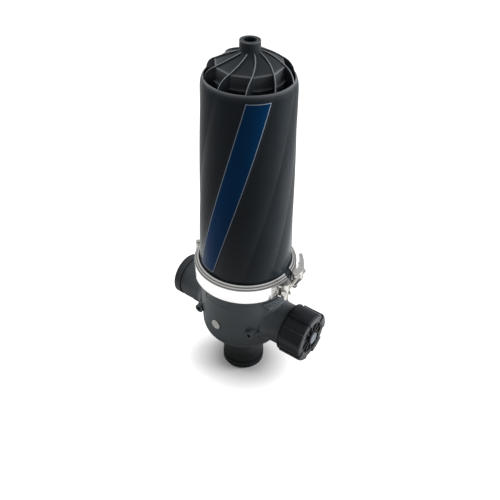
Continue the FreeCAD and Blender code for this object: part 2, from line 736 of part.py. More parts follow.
def helix_ring():
    """Ring of slanted blades that sets the water spinning round the discs."""
    low = STANDPIPE_TOP - HELIX_HEIGHT
    hub_inner = SOCKET_RADIUS + LOOSE_FIT
    hub_outer = hub_inner + 8.0
    tip = CAVITY_RADIUS - HELIX_CLEARANCE
    hub = tube(hub_inner, hub_outer, low, STANDPIPE_TOP - RUNNING_FIT)
    length = HELIX_HEIGHT / math.cos(rad(BLADE_SLANT))
    limit = tube(hub_inner + 2.0, tip, low, STANDPIPE_TOP - RUNNING_FIT)
    blade = Part.makeBox(tip - hub_outer + 4.0, BLADE_SHEET, length + 6.0,
                         V(hub_outer - 3.0, -BLADE_SHEET / 2, -length / 2 - 3.0))
    blade.rotate(V(0, 0, 0), V(1, 0, 0), BLADE_SLANT)
    blade.translate(V(0, 0, low + HELIX_HEIGHT / 2))
    blade = blade.common(limit)
    blades = []
    for index in range(HELIX_BLADES):
        copy = blade.copy()
        copy.rotate(V(0, 0, 0), V(0, 0, 1), index * 360.0 / HELIX_BLADES)
        blades.append(copy)
    return fuse_all([hub] + blades)


def spindle():
    """Ribbed core that centres the discs and leads the filtered water down."""
    low = STANDPIPE_TOP + PLATE_THICKNESS
    rib_reach = DISC_BORE - LOOSE_FIT
    foot = tube(PORT_BORE - 4.0, DISC_RADIUS, low, STACK_BOTTOM)
    core = disc(SPINDLE_CORE / 2, low, STACK_TOP)
    ribs = []
    for index in range(SPINDLE_RIBS):
        rib = Part.makeBox(rib_reach, SPINDLE_RIB, STACK_TOP - low, V(0, -SPINDLE_RIB / 2, low))
        rib.rotate(V(0, 0, 0), V(0, 0, 1), index * 360.0 / SPINDLE_RIBS)
        ribs.append(rib)
    core = fuse_all([foot, core] + ribs)
    return core.cut(disc(STUD_DIAMETER / 2, STACK_TOP - STUD_LENGTH, STACK_TOP + 1.0))


def disc_stack():
    """Packs of grooved rings, pressed together."""
    pitch = (STACK_TOP - STACK_BOTTOM) / DISC_PACKS
    rings = []
    for index in range(DISC_PACKS):
        low = STACK_BOTTOM + index * pitch
        edge = PACK_GROOVE / 2
        rings.append(spin([(DISC_BORE, low), (DISC_RADIUS - edge, low), (DISC_RADIUS, low + edge),
                           (DISC_RADIUS, low + pitch - edge), (DISC_RADIUS - edge, low + pitch),
                           (DISC_BORE, low + pitch)]))
    return Part.makeCompound(rings)


def stud():
    travel = PLATE_TOP + WASHER_SHEET + KNOB_HEIGHT - 2.0
    return disc(STUD_DIAMETER / 2, STACK_TOP - STUD_LENGTH, travel)


def press_plate():
    """Plate that the knob presses down on the stack."""
    bore = STUD_DIAMETER / 2 + RUNNING_FIT
    dish = PLATE_THICKNESS / 3
    return spin([(bore, STACK_TOP), (DISC_RADIUS, STACK_TOP), (DISC_RADIUS, PLATE_TOP - dish),
                 (DISC_RADIUS - 3.0, PLATE_TOP - dish), (KNOB_HUB, PLATE_TOP), (bore, PLATE_TOP)])


def knob_washer():
    return tube(STUD_DIAMETER / 2 + RUNNING_FIT, KNOB_HUB / 2 - 1.0, PLATE_TOP, PLATE_TOP + WASHER_SHEET)


def knob():
    """Winged nut on the stud."""
    low = PLATE_TOP + WASHER_SHEET
    top = low + KNOB_HEIGHT
    pieces = [disc(KNOB_HUB / 2, low, top)]
    for index in range(KNOB_WINGS):
        wing = plate([V(0, -3.0), V(KNOB_SPAN / 2 - 4.0, -4.0),
                      (V(KNOB_SPAN / 2, 0), V(KNOB_SPAN / 2 - 4.0, 4.0)), V(0, 3.0)],
                     low + 3.0, top - 5.0)
        wing.rotate(V(0, 0, 0), V(0, 0, 1), index * 360.0 / KNOB_WINGS)
        pieces.append(wing)
    return fuse_all(pieces).cut(disc(STUD_DIAMETER / 2 + RUNNING_FIT, low - 1.0, top + 1.0))


SEAL_FACE = PORT_REACH + PORT_SEAL_SHEET
PLUG_FACE = SEAL_FACE + PLUG_SHEET


def nut_point(radius, angle):
    """Plan point of the hand nut before it is turned onto the port: angle from up, over -Y."""
    return V(-radius * math.cos(rad(angle)), -radius * math.sin(rad(angle)), 0)


def nut_outline(grow):
    """Lobed outline: wide raised pads with lower flats between them."""
    steps = []
    pitch = 360.0 / NUT_LOBES
    half = NUT_LOBE_ANGLE / 2
    lobe = NUT_LOBE_RADIUS + grow
    waist = NUT_WAIST_RADIUS + grow
    for index in range(NUT_LOBES):
        middle = NUT_LOBE_PHASE + index * pitch
        steps.append(nut_point(waist, middle - half - 3.0))
        steps.append(nut_point(lobe, middle - half))
        steps.append((nut_point(lobe, middle), nut_point(lobe, middle + half)))
        steps.append(nut_point(waist, middle + half + 3.0))
    return steps


def nut_notch(index):
    """Lowered part of the end face between two pads, so that the pads wrap over the edge."""
    middle = NUT_LOBE_PHASE + (index + 0.5) * 360.0 / NUT_LOBES + 180.0
    return sector(NUT_WINDOW + NUT_RIM_WIDTH, NUT_LOBE_RADIUS + 1.0, NUT_END - NUT_NOTCH, NUT_END + 1.0,
                  middle - NUT_NOTCH_ANGLE / 2, middle + NUT_NOTCH_ANGLE / 2)


def hand_nut():
    """Lobed ring nut: thread zone, shoulder that traps the plug, window for the plug's hub."""
    bore = THREAD_RADIUS + LOOSE_FIT
    shell = plate(nut_outline(0.0), NUT_START, NUT_END)
    top = NUT_END
    ease = spin([(0.0, NUT_START - 1.0), (NUT_LOBE_RADIUS + 3.0, NUT_START - 1.0),
                 (NUT_LOBE_RADIUS + 3.0, top - NUT_SHOULDER - 3.0),
                 (NUT_LOBE_RADIUS, top - NUT_SHOULDER), (NUT_LOBE_RADIUS - NUT_SHOULDER, top), (0.0, top)])
    shell = shell.common(ease)
    rim = disc(NUT_WAIST_RADIUS + 0.8, NUT_START - NUT_RIM_WIDTH, NUT_START)
    shell = shell.fuse(rim)
    for index in range(NUT_LOBES):
        shell = shell.cut(nut_notch(index))
    inside = PLUG_FACE + LOOSE_FIT
    shell = shell.cut(disc(bore, NUT_START - NUT_RIM_WIDTH - 1.0, inside))
    shell = shell.cut(disc(NUT_WINDOW, inside - 1.0, top + 1.0))
    return to_port(shell, 1)


def port_plug():
    """Blind disc with a spigot in the bore, and on its face ribs and the hub's foot."""
    spigot = tube(CAPPED_BORE - 4.5, CAPPED_BORE - LOOSE_FIT, PORT_REACH - PLUG_SPIGOT, SEAL_FACE)
    face = disc(THREAD_RADIUS - LOOSE_FIT, SEAL_FACE, PLUG_FACE)
    hub = disc(PLUG_HUB_RADIUS, PLUG_FACE, PLUG_HUB_END - HUB_CAP)
    ribs = []
    for index in range(PLUG_RIBS):
        rib = Part.makeBox(NUT_WINDOW - 1.0 - PLUG_HUB_RADIUS + 2.0, 2.4, NUT_END - NUT_NOTCH - PLUG_FACE,
                           V(PLUG_HUB_RADIUS - 2.0, -1.2, PLUG_FACE))
        rib.rotate(V(0, 0, 0), V(0, 0, 1), index * 360.0 / PLUG_RIBS)
        ribs.append(rib)
    return to_port(fuse_all([spigot, face, hub] + ribs), 1)


def plug_hub():
    """Grey cap on the plug's hub, rounded at its edge."""
    foot = PLUG_HUB_END - HUB_CAP
    roundness = HUB_CAP / 2
    middle = (PLUG_HUB_RADIUS - roundness * 0.3, PLUG_HUB_END - roundness * 0.3)
    return to_port(spin([(0.0, foot), (PLUG_HUB_RADIUS, foot), (PLUG_HUB_RADIUS, foot + roundness),
                         (middle, (PLUG_HUB_RADIUS - roundness, PLUG_HUB_END)), (0.0, PLUG_HUB_END)]), 1)


def port_seal():
    return to_port(tube(CAPPED_BORE, THREAD_RADIUS - LOOSE_FIT, PORT_REACH, SEAL_FACE), 1)


def outer_lip(radius):
    """Height of the lip's outer face above the joint plane at a radius."""
    return BAND_HALF_HEIGHT + (BAND_RADIUS - radius) * math.tan(rad(LIP_SLOPE))


def band_section():
    """Rolled section of the V-band: a flat back and two slanted lips with a bead at the edge."""
    inner_back = BAND_RADIUS - BAND_SHEET
    corner = lip_height(inner_back)
    half = [(BAND_RADIUS, BAND_HALF_HEIGHT), (LIP_EDGE + BEAD_WIDTH, outer_lip(LIP_EDGE + BEAD_WIDTH)),
            (LIP_EDGE + BEAD_WIDTH - BEAD_RISE, outer_lip(LIP_EDGE + BEAD_WIDTH) + 2 * BEAD_RISE),
            (LIP_EDGE + BEAD_RISE, outer_lip(LIP_EDGE + BEAD_RISE) + BEAD_RISE),
            (LIP_EDGE, outer_lip(LIP_EDGE)), (INNER_LIP_EDGE, INNER_LIP_HEIGHT), (inner_back, corner)]
    lower = [(radius, JOINT_HEIGHT - height) for radius, height in reversed(half)]
    upper = [(radius, JOINT_HEIGHT + height) for radius, height in half]
    return upper + lower


def band(start, end):
    face = profile(band_section())
    ring = face.revolve(V(0, 0, 0), V(0, 0, 1), end - start)
    ring.rotate(V(0, 0, 0), V(0, 0, 1), start)
    return ring


def front_band():
    return band(HINGE_AZIMUTH + HINGE_GAP - 360.0, FRONT_END)


def back_band():
    return band(BACK_END, HINGE_AZIMUTH - HINGE_GAP)


HINGE = polar(HINGE_RADIUS, HINGE_AZIMUTH)
CROSSHEAD = polar(CROSSHEAD_ARM, CROSSHEAD_AZIMUTH)
TRUNNION = polar(TRUNNION_ARM, TRUNNION_AZIMUTH)
BOLT_LINE = (TRUNNION - CROSSHEAD).normalize()
PIVOT = TRUNNION - BOLT_LINE * PIVOT_SPAN
PIVOT_AZIMUTH = math.degrees(math.atan2(PIVOT.y, PIVOT.x))


def knuckle(side, bottom, top):
    """Hinge eye with the tab that joins it to its half of the band."""
    eye = disc(KNUCKLE_RADIUS, bottom, top, HINGE.x, HINGE.y)
    near = HINGE_AZIMUTH + side * (HINGE_GAP + 0.6)
    far = HINGE_AZIMUTH + side * 7.0
    tab = plate([polar(BAND_RADIUS - 1.0, near), polar(HINGE_RADIUS + 1.0, near),
                 polar(HINGE_RADIUS + KNUCKLE_RADIUS - 1.0, HINGE_AZIMUTH + side * 0.8),
                 polar(BAND_RADIUS + 1.6, far), polar(BAND_RADIUS - 1.0, far)], bottom, top)
    shape = eye.fuse(tab).cut(disc(BAND_RADIUS, bottom - 1.0, top + 1.0))
    return shape.cut(disc(HINGE_PIN / 2 + RUNNING_FIT, bottom - 1.0, top + 1.0, HINGE.x, HINGE.y))


def knuckle_levels():
    third = 2 * KNUCKLE_HALF_HEIGHT / 3
    low = JOINT_HEIGHT - KNUCKLE_HALF_HEIGHT
    return [low, low + third, low + 2 * third, low + 3 * third]


def front_knuckles():
    levels = knuckle_levels()
    lower = knuckle(1, levels[0], levels[1] - LOOSE_FIT)
    upper = knuckle(1, levels[2] + LOOSE_FIT, levels[3])
    return Part.makeCompound([lower, upper])


def back_knuckle():
    levels = knuckle_levels()
    return knuckle(-1, levels[1], levels[2])


def hinge_pin():
    levels = knuckle_levels()
    shank = disc(HINGE_PIN / 2, levels[0] - 0.5, levels[3] + 0.5, HINGE.x, HINGE.y)
    head = disc(HINGE_PIN / 2 + 1.4, levels[3] + 0.5, levels[3] + 2.3, HINGE.x, HINGE.y)
    foot = disc(HINGE_PIN / 2 + 0.9, levels[0] - 1.8, levels[0] - 0.5, HINGE.x, HINGE.y)
    return fuse_all([shank, head, foot])


def strap(start, end, half_height):
    """Curved base plate riveted on the band."""
    return sector(BAND_RADIUS, BAND_RADIUS + STRAP_SHEET, JOINT_HEIGHT - half_height,
                  JOINT_HEIGHT + half_height, start, end)


def horn_point(out, along):
    """Plan point measured from the cross-head: outward and towards the lever."""
    outward = polar(1, CROSSHEAD_AZIMUTH)
    onward = polar(1, CROSSHEAD_AZIMUTH + 90.0)
    return CROSSHEAD + outward * out + onward * along


def horn(bottom, top):
    """Cradle plate: the T-bolt's cross-head lies against it and lifts out along the flare."""
    seat = CROSSHEAD_RADIUS + LOOSE_FIT
    floor = BAND_RADIUS - CROSSHEAD_ARM - 1.0
    turn = rad(90.0 + HORN_FLARE)
    bend = rad(135.0 + HORN_FLARE / 2)
    reach = 9.0
    touch = (seat * math.cos(turn), seat * math.sin(turn))
    tip = (touch[0] + reach * math.cos(rad(HORN_FLARE)), touch[1] + reach * math.sin(rad(HORN_FLARE)))
    steps = [horn_point(floor, -11.0), horn_point(-seat, -7.0), horn_point(-seat, 0),
             (horn_point(seat * math.cos(bend), seat * math.sin(bend)), horn_point(*touch)),
             horn_point(*tip), horn_point(tip[0] - 1.0, tip[1] + 3.0), horn_point(floor, 19.0)]
    return plate(steps, bottom, top).cut(disc(BAND_RADIUS, bottom - 1.0, top + 1.0))


def front_bracket():
    low, high = HORN_HEIGHTS
    base = strap(CROSSHEAD_AZIMUTH - 14.0, FRONT_END - 0.6, high)
    return fuse_all([base, horn(JOINT_HEIGHT + low, JOINT_HEIGHT + high),
                     horn(JOINT_HEIGHT - high, JOINT_HEIGHT - low)])


def ear(bottom, top):
    """Side plate of the lever's bracket, reaching from the band to the pivot."""
    nose = PIVOT_PIN / 2 + 3.2
    inward = polar(1, PIVOT_AZIMUTH)
    onward = polar(1, PIVOT_AZIMUTH + 90.0)
    steps = [PIVOT - onward * nose, (PIVOT + inward * nose, PIVOT + onward * nose),
             polar(BAND_RADIUS + STRAP_SHEET, BACK_END + 9.0), polar(BAND_RADIUS - 1.0, BACK_END + 9.0),
             polar(BAND_RADIUS - 1.0, BACK_END + 0.6), polar(BAND_RADIUS + 1.0, BACK_END + 0.6)]
    shape = plate(steps, bottom, top).cut(disc(BAND_RADIUS, bottom - 1.0, top + 1.0))
    return shape.cut(disc(PIVOT_PIN / 2, bottom - 1.0, top + 1.0, PIVOT.x, PIVOT.y))


EAR_LOW = LEVER_INNER + LEVER_SHEET + PLATE_GAP
EAR_HIGH = EAR_LOW + PLATE_SHEET


def back_bracket():
    base = strap(BACK_END + 0.6, BACK_END + 15.0, EAR_HIGH)
    return fuse_all([base, ear(JOINT_HEIGHT + EAR_LOW, JOINT_HEIGHT + EAR_HIGH),
                     ear(JOINT_HEIGHT - EAR_HIGH, JOINT_HEIGHT - EAR_LOW)])


def rivets(azimuths, offset):
    heads = []
    for azimuth in azimuths:
        for height in (JOINT_HEIGHT - offset, JOINT_HEIGHT + offset):
            start = polar(BAND_RADIUS + STRAP_SHEET, azimuth, height)
            heads.append(Part.makeCone(RIVET_RADIUS, RIVET_RADIUS - 0.8, RIVET_HEIGHT, start, polar(1, azimuth)))
    return Part.makeCompound(heads)


def front_rivets():
    first = CROSSHEAD_AZIMUTH - 12.0
    return rivets([first, first + 3.5], HORN_HEIGHTS[1] / 2)


def back_rivets():
    return rivets([BACK_END + 12.5], EAR_HIGH / 3)


def lever_side(bottom, top):
    """Side plate of the lever: broad at the trunnion, slim at the handle."""
    inward = polar(1, PIVOT_AZIMUTH)
    onward = polar(1, PIVOT_AZIMUTH + 90.0)
    inner = BAND_RADIUS + STRAP_SHEET + 1.6
    outer = LEVER_OUTER_RADIUS
    swell = outer + LEVER_SWELL
    steps = [PIVOT - inward * LEVER_NOSE,
             (PIVOT - onward * LEVER_NOSE, PIVOT + inward * LEVER_NOSE),
             polar(swell - 4.0, TRUNNION_AZIMUTH - 6.0),
             (polar(swell - 1.0, TRUNNION_AZIMUTH - 2.0), polar(swell, TRUNNION_AZIMUTH + 2.0)),
             (polar(outer + LEVER_SWELL * 0.4, (TRUNNION_AZIMUTH + LEVER_TIP_AZIMUTH) / 2), polar(outer, LEVER_TIP_AZIMUTH)),
             polar(LEVER_TIP_INNER, LEVER_TIP_AZIMUTH),
             (polar(LEVER_TIP_INNER - 0.5, LEVER_TIP_AZIMUTH - 7.0), polar(LEVER_TIP_INNER - 1.0, LEVER_WEB_AZIMUTH + 4.0)),
             (polar(inner + 1.5, TRUNNION_AZIMUTH + 6.0), polar(inner, TRUNNION_AZIMUTH)),
             (polar(inner, (TRUNNION_AZIMUTH + PIVOT_AZIMUTH) / 2 + 1.0), PIVOT - inward * LEVER_NOSE)]
    shape = plate(steps, bottom, top)
    shape = shape.cut(disc(PIVOT_PIN / 2 + RUNNING_FIT, bottom - 1.0, top + 1.0, PIVOT.x, PIVOT.y))
    hole = TRUNNION_PIN / 2 + RUNNING_FIT
    return shape.cut(disc(hole, bottom - 1.0, top + 1.0, TRUNNION.x, TRUNNION.y))


def lever():
    inner, outer = LEVER_INNER, LEVER_INNER + LEVER_SHEET
    low, high = JOINT_HEIGHT - outer, JOINT_HEIGHT + outer
    web = sector(LEVER_OUTER_RADIUS - LEVER_SHEET, LEVER_OUTER_RADIUS, low, high,
                 LEVER_WEB_AZIMUTH, LEVER_TIP_AZIMUTH)
    curl = polar(LEVER_OUTER_RADIUS - LEVER_SHEET, LEVER_TIP_AZIMUTH)
    tip = disc(LEVER_SHEET, low, high, curl.x, curl.y)
    return fuse_all([lever_side(JOINT_HEIGHT + inner, high), lever_side(low, JOINT_HEIGHT - inner), web, tip])


def pivot_pins():
    """Two short rivets, so that the bolt can swing through between them."""
    pins = []
    for side in (1, -1):
        inner = JOINT_HEIGHT + side * (LEVER_INNER - 0.5)
        outer = JOINT_HEIGHT + side * EAR_HIGH
        low, high = min(inner, outer), max(inner, outer)
        shank = disc(PIVOT_PIN / 2, low, high, PIVOT.x, PIVOT.y)
        cap = outer if side > 0 else outer - 1.5
        head = disc(PIVOT_PIN / 2 + 1.8, cap, cap + 1.5, PIVOT.x, PIVOT.y)
        pins.append(shank.fuse(head).removeSplitter())
    return Part.makeCompound(pins)


def along_bolt(distance):
    point = CROSSHEAD + BOLT_LINE * distance
    return V(point.x, point.y, JOINT_HEIGHT)


BOLT_SPAN = TRUNNION.distanceToPoint(CROSSHEAD)
BOLT_RADIUS = BOLT_DIAMETER / 2


def crosshead():
    low, high = JOINT_HEIGHT - CROSSHEAD_HALF_HEIGHT, JOINT_HEIGHT + CROSSHEAD_HALF_HEIGHT
    bar = disc(CROSSHEAD_RADIUS, low + 1.2, high - 1.2, CROSSHEAD.x, CROSSHEAD.y)
    ends = [Part.makeCone(CROSSHEAD_RADIUS - 1.2, CROSSHEAD_RADIUS, 1.2, V(CROSSHEAD.x, CROSSHEAD.y, low)),
            Part.makeCone(CROSSHEAD_RADIUS, CROSSHEAD_RADIUS - 1.2, 1.2, V(CROSSHEAD.x, CROSSHEAD.y, high - 1.2))]
    return fuse_all([bar] + ends).cut(Part.makeCylinder(BOLT_RADIUS, 30.0, along_bolt(-15.0), BOLT_LINE))


def bolt():
    """T-bolt shank with its round head behind the cross-head."""
    shank = Part.makeCylinder(BOLT_RADIUS, BOLT_SPAN + BOLT_OVERRUN + CROSSHEAD_RADIUS,
                              along_bolt(-CROSSHEAD_RADIUS), BOLT_LINE)
    head = Part.makeCylinder(BOLT_RADIUS + 1.5, 3.0, along_bolt(-CROSSHEAD_RADIUS - 3.0), BOLT_LINE)
    return shank.fuse(head).removeSplitter()


def trunnion():
    half = LEVER_INNER - LOOSE_FIT
    body = disc(TRUNNION_RADIUS, JOINT_HEIGHT - half, JOINT_HEIGHT + half, TRUNNION.x, TRUNNION.y)
    reach = LEVER_INNER + LEVER_SHEET
    pin = disc(TRUNNION_PIN / 2, JOINT_HEIGHT - reach, JOINT_HEIGHT + reach, TRUNNION.x, TRUNNION.y)
    body = body.fuse(pin).removeSplitter()
    return body.cut(Part.makeCylinder(BOLT_RADIUS, 40.0, along_bolt(BOLT_SPAN - 20.0), BOLT_LINE))


def clamp_washer():
    start = along_bolt(BOLT_SPAN + TRUNNION_RADIUS)
    ring = Part.makeCylinder(NUT_FLATS / 2, 1.6, start, BOLT_LINE)
    return ring.cut(Part.makeCylinder(BOLT_RADIUS, 1.6, start, BOLT_LINE))


def clamp_nut():
    start = along_bolt(BOLT_SPAN + TRUNNION_RADIUS + 1.6)
    body = hexagon(NUT_FLATS, start, BOLT_LINE, NUT_HEIGHT)
    return body.cut(Part.makeCylinder(BOLT_RADIUS, NUT_HEIGHT, start, BOLT_LINE))


NODES = {
    "base_body": base_body,
    "cover": cover,
    "cover_seal": cover_seal,
    "label": label,
    "badge": badge,
    "tap_plugs": lambda: Part.makeCompound([tap_plug(1), tap_plug(-1)]),
    "element_socket": element_socket,
    "element_seal": element_seal,
    "helix_ring": helix_ring,
    "spindle": spindle,
    "disc_stack": disc_stack,
    "stud": stud,
    "press_plate": press_plate,
    "knob_washer": knob_washer,
    "knob": knob,
    "hand_nut": hand_nut,
    "port_plug": port_plug,
    "plug_hub": plug_hub,
    "port_seal": port_seal,
    "clamp_front_band": front_band,
    "clamp_back_band": back_band,
    "hinge_knuckles_front": front_knuckles,
    "hinge_knuckle_back": back_knuckle,
    "hinge_pin": hinge_pin,
    "front_bracket": front_bracket,
    "front_rivets": front_rivets,
    "back_bracket": back_bracket,
    "back_rivets": back_rivets,
    "lever": lever,
    "pivot_pins": pivot_pins,
    "crosshead": crosshead,
    "t_bolt": bolt,
    "trunnion": trunnion,
    "clamp_washer": clamp_washer,
    "clamp_nut": clamp_nut,
}

os.makedirs("parts", exist_ok=True)
for name, make in NODES.items():
    shape = make()
    print(name, shape.isValid(), len(shape.Solids), round(shape.Volume / 1000, 2))
    shape.exportStep("parts/" + name + ".step")
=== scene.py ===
"""Looks of the disc filter: studio, materials and the pieces that replace plain CAD nodes.

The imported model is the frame. Blender works in metres. The named sizes of the pieces are
millimetres and degrees, and a mesh is turned into metres where it is made.
"""

import json
import logging
import math
from dataclasses import dataclass
from enum import Enum
from typing import Iterable, Optional, Sequence

import bmesh
import bpy
import numpy as np
from mathutils import Matrix, Vector

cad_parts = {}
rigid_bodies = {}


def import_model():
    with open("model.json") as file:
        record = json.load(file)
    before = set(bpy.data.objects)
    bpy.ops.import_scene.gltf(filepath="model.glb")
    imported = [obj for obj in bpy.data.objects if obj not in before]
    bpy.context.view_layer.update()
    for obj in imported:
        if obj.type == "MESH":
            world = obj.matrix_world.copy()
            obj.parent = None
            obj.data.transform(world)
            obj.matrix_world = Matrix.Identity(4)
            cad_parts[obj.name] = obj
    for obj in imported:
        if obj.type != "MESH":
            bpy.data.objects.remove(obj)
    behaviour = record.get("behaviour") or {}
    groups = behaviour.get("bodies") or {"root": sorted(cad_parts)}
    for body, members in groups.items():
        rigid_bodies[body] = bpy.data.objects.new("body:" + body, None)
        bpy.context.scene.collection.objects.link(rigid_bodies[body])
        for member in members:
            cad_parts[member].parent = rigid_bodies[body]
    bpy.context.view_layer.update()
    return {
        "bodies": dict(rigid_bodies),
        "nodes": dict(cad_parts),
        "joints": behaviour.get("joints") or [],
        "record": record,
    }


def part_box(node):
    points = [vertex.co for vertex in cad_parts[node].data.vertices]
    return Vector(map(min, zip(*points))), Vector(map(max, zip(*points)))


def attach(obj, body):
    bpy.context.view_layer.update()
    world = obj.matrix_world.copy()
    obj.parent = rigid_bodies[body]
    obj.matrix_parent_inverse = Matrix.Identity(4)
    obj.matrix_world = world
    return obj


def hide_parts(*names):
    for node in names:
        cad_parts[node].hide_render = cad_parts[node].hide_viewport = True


LOG = logging.getLogger("disc_filter")
MM = 0.001
# Name of the vertex attribute that holds painted highlights and painted shade.
PAINTED_LIGHT = "rubbed"
LONGEST_EASING = 0.48
Colour = tuple[float, float, float]
Mesh = bpy.types.Mesh
Node = bpy.types.Node
Object = bpy.types.Object
Socket = bpy.types.NodeSocket


class Texture(Enum):
    """Kinds of surface detail that a finish can carry."""

    MOULDED = "moulded"
    BRUSHED = "brushed"
    FILM = "film"


@dataclass(frozen=True)
class Finish:
    """Colour and surface of one material.

    Args:
        name: material name.
        colour: linear base colour.
        roughness: roughness of the clean surface.
        texture: kind of detail. What is brushed is metal.
        specular: level of the reflection, 0.5 for common plastic.
        bump: depth of the surface detail in metres.
        grain: features per metre.
        wear: how strongly scuffs and dust show.
        rubbed: linear colour of painted highlights on edges, and of painted shade in the band's
            grooves.
        fade: share of the colour that is left at the ends of the necks, 1 for none lost; the loss
            is painted shade.
    """

    name: str
    colour: Colour
    roughness: float
    texture: Texture = Texture.MOULDED
    specular: float = 0.3
    bump: float = 0.00006
    grain: float = 900.0
    wear: float = 0.25
    rubbed: Colour = (0.11, 0.118, 0.128)
    fade: float = 1.0


# Each finish's second colour is painted light: lighter for painted highlights, dark on the band for
# painted shade in its grooves.
FINISHES: dict[str, Finish] = {finish.name: finish for finish in (
    Finish("base_plastic", (0.070, 0.083, 0.092), 0.40, specular=0.35,
           rubbed=(0.2, 0.215, 0.23), fade=0.1),
    Finish("cover_plastic", (0.0150, 0.0200, 0.0245), 0.26, specular=0.12, bump=0.00003,
           grain=700.0, wear=0.1, rubbed=(0.33, 0.35, 0.37)),
    Finish("nut_plastic", (0.0120, 0.0150, 0.0185), 0.22, specular=0.22, bump=0.00003,
           wear=0.1, rubbed=(0.2, 0.22, 0.24)),
    Finish("hub_plastic", (0.14, 0.155, 0.18), 0.5),
    Finish("plug_plastic", (0.012, 0.013, 0.015), 0.36),
    Finish("badge_plastic", (0.74, 0.74, 0.69), 0.55, wear=0.1),
    Finish("element_plastic", (0.035, 0.036, 0.04), 0.45),
    Finish("disc_plastic", (0.25, 0.02, 0.02), 0.4),
    Finish("knob_plastic", (0.03, 0.03, 0.034), 0.4),
    Finish("seal_rubber", (0.012, 0.012, 0.012), 0.7, bump=0.0001),
    Finish("label_film", (0.0005, 0.033, 0.105), 0.3, Texture.FILM, specular=0.06,
           bump=0.00002, wear=0.0),
    # The band's second colour is dark: painted shade in its grooves.
    Finish("band_steel", (0.93, 0.92, 0.90), 0.12, Texture.BRUSHED, specular=0.5,
           bump=0.00001, grain=2200.0, rubbed=(0.16, 0.16, 0.15)),
    Finish("bracket_steel", (0.66, 0.65, 0.63), 0.2, Texture.BRUSHED, specular=0.5,
           bump=0.00003, grain=1500.0),
    Finish("lever_steel", (0.78, 0.78, 0.77), 0.34, Texture.BRUSHED, specular=0.5,
           bump=0.00004, grain=1200.0),
    Finish("bolt_steel", (0.74, 0.72, 0.68), 0.16, Texture.BRUSHED, specular=0.5,
           bump=0.00002, grain=1500.0),
)}


class Graph:
    """Adds nodes and links to one node tree."""

    COLUMN_WIDTH = 190.0

    def __init__(self, tree: bpy.types.NodeTree) -> None:
        """Starts at the first column of a node tree."""
        self.tree = tree
        self.column = 0

    @classmethod
    def of(cls, owner: bpy.types.ID) -> "Graph":
        """Turns on an owner's nodes and empties them.

        Args:
            owner: material or world.

        Returns:
            A graph of its node tree.
        """
        owner.use_nodes = True
        owner.node_tree.nodes.clear()
        return cls(owner.node_tree)

    def add(self, kind: str, feeds: Optional[dict] = None, **settings: object) -> Node:
        """Adds a node, sets its properties and feeds its inputs.

        Args:
            kind: Blender's identifier of the node.
            feeds: sockets to link or plain values to set, by the input's name or number.
            **settings: property names with their values.

        Returns:
            The new node.
        """
        node = self.tree.nodes.new(kind)
        node.location = (self.column * self.COLUMN_WIDTH, 0.0)
        self.column += 1
        for name, value in settings.items():
            setattr(node, name, value)
        for entry, value in (feeds or {}).items():
            if isinstance(value, Socket):
                self.tree.links.new(value, node.inputs[entry])
            else:
                node.inputs[entry].default_value = value
        return node

    def math(self, operation: str, *values: object) -> Socket:
        """Adds a math node on sockets or numbers and gives its result's socket."""
        return self.add("ShaderNodeMath", dict(enumerate(values)), operation=operation).outputs[0]

    def noise(self, vector: Socket, scale: object, detail: float) -> Socket:
        """Adds noise with a scale and a number of octaves and gives its value's socket."""
        feeds = {"Vector": vector, "Scale": scale, "Detail": detail}
        return self.add("ShaderNodeTexNoise", feeds).outputs["Fac"]

    def between(self, value: object, span: tuple[float, float], start: float,
                end: float) -> Socket:
        """Maps a value from one range to another and clamps it.

        Args:
            value: socket or number.
            span: ends of the source range.
            start: result at the lower end.
            end: result at the upper end.

        Returns:
            The mapped value's socket.
        """
        return self.add("ShaderNodeMapRange", {
            "Value": value, "From Min": span[0], "From Max": span[1], "To Min": start,
            "To Max": end}).outputs["Result"]

    def mix(self, share: object, first: object, second: object) -> Socket:
        """Mixes two colours.

        Args:
            share: socket or number from 0 to 1.
            first: colour at 0, as a socket or three numbers.
            second: colour at 1, as a socket or three numbers.

        Returns:
            The mixed colour's socket.
        """
        ends = [end if isinstance(end, Socket) else (*end, 1.0) for end in (first, second)]
        feeds = {"Factor": share, "A": ends[0], "B": ends[1]}
        return self.add("ShaderNodeMix", feeds, data_type="RGBA").outputs["Result"]

    def place(self) -> Socket:
        """Gives the socket of object coordinates."""
        return self.add("ShaderNodeTexCoord").outputs["Object"]

    def parts(self, vector: Socket) -> tuple[Socket, Socket, Socket]:
        """Gives the X, Y and Z sockets of a vector."""
        return tuple(self.add("ShaderNodeSeparateXYZ", {0: vector}).outputs)

    def round_axis(self, x: Socket, y: Socket) -> tuple[Socket, Socket]:
        """Gives radius, the root of x² + y², and azimuth in radians, the arc tangent of y / x."""
        squares = self.math("ADD", self.math("POWER", x, 2.0), self.math("POWER", y, 2.0))
        return self.math("SQRT", squares), self.math("ARCTAN2", y, x)


